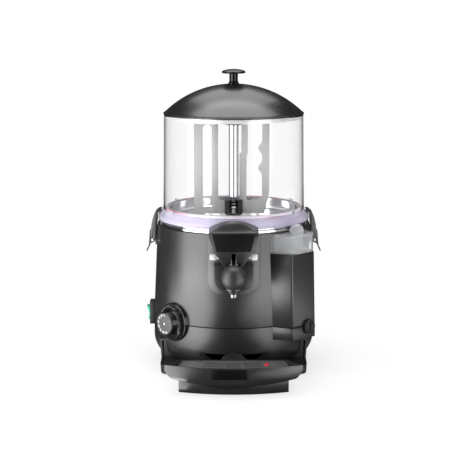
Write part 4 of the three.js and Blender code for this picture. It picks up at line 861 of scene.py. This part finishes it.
# %% Blades
BLADE_LOW, BLADE_HIGH = 234.0, 386.0
BLADE_HALF = 1.75
TOOL_HALF = 4
LOOP_LOW, LOOP_HIGH = 255, 379.5
LOOP_INSIDE = 45.2
WAVE_SHARES = (0.683, 0.426)
WAVE_LENGTH = 0.193


def flat(points, half, name):
    """Trace (x, z) millimetre points as a plate that lies half to each side of the drum's axis."""
    return traced(name, [at(x, -half, z) for x, z in points], Vector((0, 2 * half * MM, 0)))


def rounded_slot(inner, outer, low, high, steps=10):
    """An upright slot with half-round ends."""
    radius = (outer - inner) / 2
    middle = (outer + inner) / 2
    return (curve_points(middle, low + radius, radius, 180, 360, steps)
            + curve_points(middle, high - radius, radius, 0, 180, steps))


def left_blade():
    body = [(-63, BLADE_LOW), (-13.9, BLADE_LOW), (-13.9, 256)]
    body += curve_points(-18.6, 262, 6, 270, 180, 6)
    body += [(-24.6, BLADE_HIGH), (-63, BLADE_HIGH)]
    blade = flat(body, BLADE_HALF, "left_blade_skin")
    slot = [(-x, z) for x, z in rounded_slot(34.7, 49, 241.5, 377.5)]
    return cut(blade, flat(slot, TOOL_HALF, "slot_tool"))


def wave(middle, height, depth=6.0, steps=10):
    """A smooth bump into the opening, from above to below its middle."""
    points = []
    for i in range(steps + 1):
        share = 1 - 2 * i / steps
        bulge = depth * (1 + math.cos(math.pi * share)) / 2
        points.append((LOOP_INSIDE - bulge, middle + height / 2 * share))
    return points


def right_blade():
    outside = [(13.9, BLADE_LOW), (49, BLADE_LOW), (56, 264), (56.8, 267), (57, 270),
               (57, BLADE_HIGH), (12.4, BLADE_HIGH), (12.4, 333.5), (9.2, 330), (9.2, 257), (13.9, 257)]
    blade = flat(outside, BLADE_HALF, "right_blade_skin")
    tall = LOOP_HIGH - LOOP_LOW
    opening = [(22.3, LOOP_HIGH), (LOOP_INSIDE, LOOP_HIGH)]
    for share in WAVE_SHARES:
        opening += wave(LOOP_LOW + tall * share, tall * WAVE_LENGTH)
    opening += [(LOOP_INSIDE, 266)] + curve_points(41, 262, 4.2, 0, -60, 4)
    opening += [(26, LOOP_LOW)] + curve_points(24.5, 259, 4, 260, 180, 4)
    opening += [(20.5, 328), (22.3, 331)]
    return cut(blade, flat(opening, TOOL_HALF, "opening_tool"))


for blade, node in ((left_blade(), "left_blade"), (right_blade(), "right_blade")):
    bevel(blade, 0.6, 3)
    smooth(blade)
    dress(blade, BLADE, "agitator", node, slot="grey_blade_plastic")
print("blades made")

# %% [markdown]
# A polished tube stands in the middle of the bowl. Over its top turns a black hub, a cap with a soft edge.
# The lower hub turns round its foot. It is cut open in front, so that the tube and two dark rings on it
# show between its cheeks.

# %% Column and hubs
HUB_WINDOW = (-7.2, 7.2), (-30, -2), (235.2, 262)
RING_HEIGHTS = (246.2, 251.4)
TUBE_PROFILE = [(5.9, 231), (11.9, 231), (12, 231.3), (11.9, 232), (8.4, 232.4), (7.85, 233),
                (7.85, 376.3), (7.5, 376.7), (5.9, 376.7)]
TUBE = spun("column_tube_skin", TUBE_PROFILE, soft=40)
dress(TUBE, CHROME, "machine", "column_tube", slot="polished_steel")


def slab(name, x, y, z):
    """A flat plate between pairs of limits in x, y and z."""
    corners = [at(a, b, z[0]) for a, b in rectangle(*x, *y)]
    return traced(name, corners, Vector((0, 0, (z[1] - z[0]) * MM)))


def top_hub():
    profile = [(4.6, 377), (8.8, 377), (13, 377), (13.6, 377.6), (13.6, 381), (13, 382.6),
               (11.4, 384.4), (9, 385.6), (6, 386), (0.4, 386), (0.4, 384.3), (4.6, 384.3)]
    return spun("top_hub_skin", profile, 72, soft=50)


cut(restyle("lower_hub", 0.5, BLACK, 3), slab("hub_window", *HUB_WINDOW))
for number, low in enumerate(RING_HEIGHTS):
    band = [(7.88, low), (8.15, low + 0.3), (8.15, low + 2.9), (7.88, low + 3.2)]
    ring = spun("column_ring_" + str(number), band, 72)
    dress(ring, GLOSS, "machine", "column_tube", slot="gloss_black_plastic")
dress(top_hub(), BLACK, "agitator", "top_hub", slot="black_plastic")
print("column and hubs made")

# %% [markdown]
# The latches hold the bowl down. Each has a bracket on the drum, a handle with a flared tip, and a hood
# that hooks over the flange. The hood is two side plates and a bent cover, and bright rivets hold it.

# %% Latches
HOOD_HALF = 12.3
HOOD_PLATE = 3
COVER_HALF = 9.4
RIVET_REACH, RIVET_HEIGHT = 129, 194
RIVET_BASE = 12.6
HOOD_SIDE = [(126.6, 190.8), (132.3, 190.8), (132.2, 206), (131.4, 218), (128.6, 230), (124.6, 238.6),
             (119.6, 243), (114.8, 244), (114.8, 241.6), (118.6, 239.2), (121.3, 236.4), (121.5, 226),
             (123.4, 212), (124.4, 200)]
HOOD_COVER = [(132.2, 211.5), (131.4, 218), (128.6, 230), (124.6, 238.6), (119.6, 243), (114.8, 244),
              (114.8, 241.8), (118.8, 240.8), (122.8, 237.2), (126.5, 229.2), (129.3, 217.5),
              (130.1, 211.5)]


def side_plate(name, side, low, high, points):
    """A plate in side view, from one y to another, on the left or right side of the machine."""
    corners = [at(side * x, low, z) for x, z in points]
    return traced(name, corners, Vector((0, (high - low) * MM, 0)))


def hood(label, side):
    for number, low in enumerate((-HOOD_HALF, HOOD_HALF - HOOD_PLATE), 1):
        plate = side_plate("hook_plate_" + label + str(number), side, low, low + HOOD_PLATE, HOOD_SIDE)
        place = at(side * RIVET_REACH, low, RIVET_HEIGHT)
        cut(plate, spun_along("pin_tool", [(0.01, -1), (2.2, -1), (2.2, 5), (0.01, 5)], place, -FRONT, 24))
        bevel(plate, 0.4, 2)
        smooth(plate)
        dress(plate, LATCH_BLACK, "hook_" + label, "latch_hook_" + label, slot="black_plastic")
    cover = side_plate("hook_cover_" + label, side, -COVER_HALF, COVER_HALF, HOOD_COVER)
    bevel(cover, 0.3, 2)
    smooth(cover, 50)
    dress(cover, LATCH_BLACK, "hook_" + label, "latch_hook_" + label, slot="black_plastic")
    head = [(0.2, 0), (2.3, 0), (2.2, 0.35), (1.5, 0.75), (0.2, 0.95)]
    for end, front in (("_front", 1), ("_back", -1)):
        place = at(side * RIVET_REACH, -RIVET_BASE * front, RIVET_HEIGHT)
        rivet = spun_along("rivet_" + label + end, head, place, FRONT * front, 24)
        smooth(rivet, 60)
        dress(rivet, STEEL, "handle_" + label, slot="polished_steel")


for label, side in (("left", -1), ("right", 1)):
    hood(label, side)
    restyle("latch_bracket_" + label, 0.5, LATCH_BLACK)
    restyle("latch_handle_" + label, 0.4, LATCH_BLACK)
print("latches made")

# %% [markdown]
# Water goes in through a clear cup on top of the filler column. Its lid has a round hollow knob. A black
# plug with a coin slot closes the drain below.

# %% Filler and drain
restyle("filler_cup", 0.5, CUP_CLEAR)
restyle("filler_lid", 0.5, CUP_CLEAR)
PLUG_X, PLUG_HEIGHT = 8.5, 74
PLUG_AXIS = (out(0, 0, 1, COLUMN_ANGLE) - out(0, 0, 0, COLUMN_ANGLE)).normalized()
COIN_HALF_WIDTH, COIN_HALF_LENGTH = 1.4, 6.2
COIN_FLOOR = 157.4


def drain_plug():
    profile = [(0.3, 155.2), (11.5, 155.2), (11.5, 158.7), (11, 159.4), (9.6, 159.6), (9, 159.1),
               (8.6, 158.4), (7.6, 158.2), (7, 158.6), (6.6, 159.3), (0.3, 159.5)]
    foot = out(PLUG_X, PLUG_HEIGHT, 0, COLUMN_ANGLE)
    plug = spun_along("drain_plug_skin", profile, foot, PLUG_AXIS, 72)
    slot = rectangle(-COIN_HALF_WIDTH, COIN_HALF_WIDTH, -COIN_HALF_LENGTH, COIN_HALF_LENGTH)
    corners = [out(PLUG_X + x, PLUG_HEIGHT + z, COIN_FLOOR, COLUMN_ANGLE) for x, z in slot]
    cut(plug, traced("coin_tool", corners, PLUG_AXIS * 4 * MM))
    smooth(plug, 30)
    return plug


dress(drain_plug(), BLACK, "plug", "drain_plug", slot="black_plastic")
print("filler and drain made")

# %% [markdown]
# The base is plain moulded plastic: the pedestal, the foot under the tray, the tray with its grille and
# float, and the cover at the back with its vents. The pedestal's front is cut lower than the frame's,
# because the drum's round foot shows there. A wall and a ledge close the cut, and both are hollowed out so
# that the drum has room.

# %% Base, tray and back
for node, radius in (("pedestal", 1.5), ("base_foot", 1.2), ("drip_tray", 0.7), ("rear_cover", 1.0)):
    restyle(node, radius, SATIN)
SHOULDER_FOOT = 16.0
SHOULDER_FRONT = 72.0
SHOULDER_TOP = 60
PEDESTAL_INSIDE = (-109.9, 109.9)
PEDESTAL_FRONT = 117
PEDESTAL_FLAT = 43.7
CLEARANCE = 0.3


def drum_room():
    """The space that the drum's lower part takes up, with a little air round it."""
    radius = FOOT_ROUND + CLEARANCE
    foot = curve_points(DRUM_RADIUS - FOOT_ROUND, DRUM_FOOT + FOOT_ROUND, radius, -90, 0, 18)
    top = [(DRUM_RADIUS + CLEARANCE, SHOULDER_TOP), (0.01, SHOULDER_TOP)]
    return spun("drum_room", [(0.01, DRUM_FOOT - CLEARANCE)] + foot + top)


beyond = (-130, 130)
shoulder = slab("shoulder_tool", beyond, (-130, -SHOULDER_FRONT), (SHOULDER_FOOT, SHOULDER_TOP))
cut(bpy.data.objects["pedestal_skin"], shoulder)
wall_depth = (-SHOULDER_FRONT, -SHOULDER_FRONT + WALL)
ledge_depth = (-PEDESTAL_FRONT, -SHOULDER_FRONT)
for name, depth, height in (("pedestal_wall", wall_depth, (DRUM_FOOT, PEDESTAL_FLAT)),
                            ("pedestal_ledge", ledge_depth, (SHOULDER_FOOT - WALL, SHOULDER_FOOT))):
    plate = cut(slab(name, PEDESTAL_INSIDE, depth, height), drum_room())
    dress(plate, SATIN, "machine", "pedestal", slot=slot_of["pedestal"])
restyle("grille", 0.35, GRILLE_SATIN)
restyle("tray_front_panel", 0.2, PLATE_BLACK)
restyle("cable_gland", 0.6, BLACK, 3)
for node in nodes:
    if node.startswith("rubber_foot"):
        restyle(node, 0.5, RUBBER)


def float_pin():
    profile = [(0.3, 22.6), (3.3, 22.6), (3.6, 22.9), (3.6, 28.4), (3.3, 29.6), (2.6, 30.3),
               (1.4, 30.6), (0.3, 30.6)]
    return spun("float_pin_skin", profile, 48, place=(50, -162), soft=50)


dress(float_pin(), RED, "tray_float", "float_pin", slot="red_float")
print("base and tray dressed")

# %% [markdown]
# The photograph has a white ground, soft light from the sides and from above, and darkness behind the
# camera. So the world is white only where the camera looks straight at it, or sees it through the clear
# plastic. In mirror images it is almost black, a mid grey where plastic and a mirror meet, and as a source
# of light it is a dim grey.

# %% World
AMBIENT = 0.25
REFLECTED = 0.035
PLASTIC_MIRRORED = 0.45


def combined(tree, operation, first, second):
    """One number made of two, by a Math node."""
    node = tree.nodes.new("ShaderNodeMath")
    node.operation = operation
    tree.links.new(first, node.inputs[0])
    tree.links.new(second, node.inputs[1])
    return node.outputs["Value"]


def between(tree, share, low, high=1.0):
    """A Mix node whose number goes from low to high with a share."""
    node = tree.nodes.new("ShaderNodeMix")
    node.inputs["A"].default_value = low
    node.inputs["B"].default_value = high
    tree.links.new(share, node.inputs["Factor"])
    return node


def ray_kinds(tree):
    """How brightly a ray sees the white around it, and whether it was mirrored on its way."""
    path = tree.nodes.new("ShaderNodeLightPath")
    camera, through = path.outputs["Is Camera Ray"], path.outputs["Is Transmission Ray"]
    straight = combined(tree, "MAXIMUM", camera, through)
    mirrored = tree.nodes.new("ShaderNodeMath")
    mirrored.operation = "GREATER_THAN"
    mirrored.inputs[1].default_value = 0.5
    tree.links.new(path.outputs["Glossy Depth"], mirrored.inputs[0])
    loss = tree.nodes.new("ShaderNodeMath")
    loss.operation = "MULTIPLY_ADD"
    loss.inputs[1].default_value = PLASTIC_MIRRORED - 1
    loss.inputs[2].default_value = 1
    tree.links.new(mirrored.outputs["Value"], loss.inputs[0])
    return combined(tree, "MULTIPLY", straight, loss.outputs["Value"]), mirrored.outputs["Value"]


def white_world():
    world = bpy.data.worlds.new("studio")
    bpy.context.scene.world = world
    world.use_nodes = True
    tree = world.node_tree
    tree.nodes.clear()
    seen, mirrored = ray_kinds(tree)
    dim = between(tree, mirrored, AMBIENT, REFLECTED)
    level = between(tree, seen, AMBIENT)
    tree.links.new(dim.outputs["Result"], level.inputs["A"])
    background = tree.nodes.new("ShaderNodeBackground")
    background.inputs["Color"].default_value = (1, 1, 1, 1)
    output = tree.nodes.new("ShaderNodeOutputWorld")
    tree.links.new(level.outputs["Result"], background.inputs["Strength"])
    tree.links.new(background.outputs["Background"], output.inputs["Surface"])


white_world()
print("world made:", bpy.context.scene.world.name)

# %% [markdown]
# The floor is a wide white sheet. Near the machine about a third of its look is its own lit surface, which
# keeps the soft shadow. Further out it turns to the same plain white as the world, so that no edge shows.

# %% Floor
FLOOR_REFLECTED = 0.04
FLOOR_RADIUS = 6
SHADOW_SPREAD = (0.13, 0.29)
LEAST_WHITE = 0.65


def white_floor():
    deselect()
    bpy.ops.mesh.primitive_circle_add(vertices=96, radius=FLOOR_RADIUS, fill_type="NGON",
                                      location=(0, 0, 0))
    floor = bpy.context.object
    floor.name = "floor"
    material = bpy.data.materials.new("white_floor")
    material.use_nodes = True
    tree = material.node_tree
    shader = tree.nodes["Principled BSDF"]
    shader.inputs["Base Color"].default_value = (0.9, 0.9, 0.9, 1)
    shader.inputs["Roughness"].default_value = 0.8
    place = tree.nodes.new("ShaderNodeTexCoord")
    distance = tree.nodes.new("ShaderNodeVectorMath")
    distance.operation = "LENGTH"
    tree.links.new(place.outputs["Object"], distance.inputs[0])
    fade = ranged(tree, distance.outputs["Value"], SHADOW_SPREAD, LEAST_WHITE)
    fade.interpolation_type = "SMOOTHSTEP"
    seen, mirrored = ray_kinds(tree)
    watched = combined(tree, "MAXIMUM", seen, mirrored)
    share = combined(tree, "MULTIPLY", fade.outputs["Result"], watched)
    level = between(tree, seen, FLOOR_REFLECTED)
    white = tree.nodes.new("ShaderNodeEmission")
    tree.links.new(level.outputs["Result"], white.inputs["Strength"])
    mixed = tree.nodes.new("ShaderNodeMixShader")
    tree.links.new(share, mixed.inputs["Fac"])
    tree.links.new(shader.outputs["BSDF"], mixed.inputs[1])
    tree.links.new(white.outputs["Emission"], mixed.inputs[2])
    tree.links.new(mixed.outputs["Shader"], tree.nodes["Material Output"].inputs["Surface"])
    floor.data.materials.append(material)


white_floor()
print("floor radius in metres:", FLOOR_RADIUS)

# %% [markdown]
# The drum's broad bright band left of the middle is the left panel's reflection. The band at the right is
# weaker, and the middle stays dark because nothing bright stands behind the camera. The drum's foot and
# the tray's front mirror the floor, so two more panels lie on it, one at each side and hidden from the
# camera. The panel behind and above the machine makes the highlight on the lid, and the one over it lights
# the whole from above.

# %% Lights
AIM_HEIGHT = 0.5


def panel_light(name, turn, distance, height, size, power, lying=False):
    """A panel, turned to the right of the front in degrees. Lengths are in metres and power in watts."""
    angle = math.radians(turn)
    lamp = bpy.data.lights.new(name, "AREA")
    lamp.shape = "RECTANGLE"
    lamp.size, lamp.size_y = size
    lamp.energy = power
    holder = bpy.data.objects.new(name, lamp)
    bpy.context.scene.collection.objects.link(holder)
    holder.location = (distance * math.sin(angle), -distance * math.cos(angle), height)
    holder.visible_camera = False
    aim = Vector((0, 0, min(height, AIM_HEIGHT))) - holder.location
    holder.rotation_euler = (math.pi, 0, -angle) if lying else aim.to_track_quat("-Z", "Y").to_euler()


panel_light("left_panel", -55, 0.535, 0.32, (0.48, 0.62), 3.5)
panel_light("left_low", -58, 0.605, 0.004, (0.7, 0.6), 4.9, lying=True)
panel_light("right_panel", 46, 0.55, 0.32, (0.34, 0.62), 1.5)
panel_light("right_low", 50, 0.6, 0.004, (0.6, 0.6), 2.8, lying=True)
panel_light("back_panel", 180, 1.15, 1.95, (1.6, 1.4), 13)
panel_light("top_panel", 0, -0.1, 1.9, (2.2, 1.1), 24)
print("panels:", len(bpy.data.lights))

# %% [markdown]
# The camera stands 2.3 m in front of the drum's axis and looks about ten degrees down, with a long lens,
# as the photograph's flat perspective shows.

# %% Camera
LENS = 112.4
SENSOR = 36
CAMERA_PLACE = at(-1, -2300, 607.3)
CAMERA_AIM = at(-1, 0, 202.9)


def photo_camera():
    lens = bpy.data.cameras.new("photo_camera")
    lens.lens = LENS
    lens.sensor_width = SENSOR
    camera = bpy.data.objects.new("photo_camera", lens)
    bpy.context.scene.collection.objects.link(camera)
    camera.location = CAMERA_PLACE
    camera.rotation_euler = (CAMERA_AIM - CAMERA_PLACE).to_track_quat("-Z", "Y").to_euler()
    bpy.context.scene.camera = camera


photo_camera()
bpy.context.scene.view_settings.view_transform = "Standard"
print("camera lens in millimetres:", LENS)
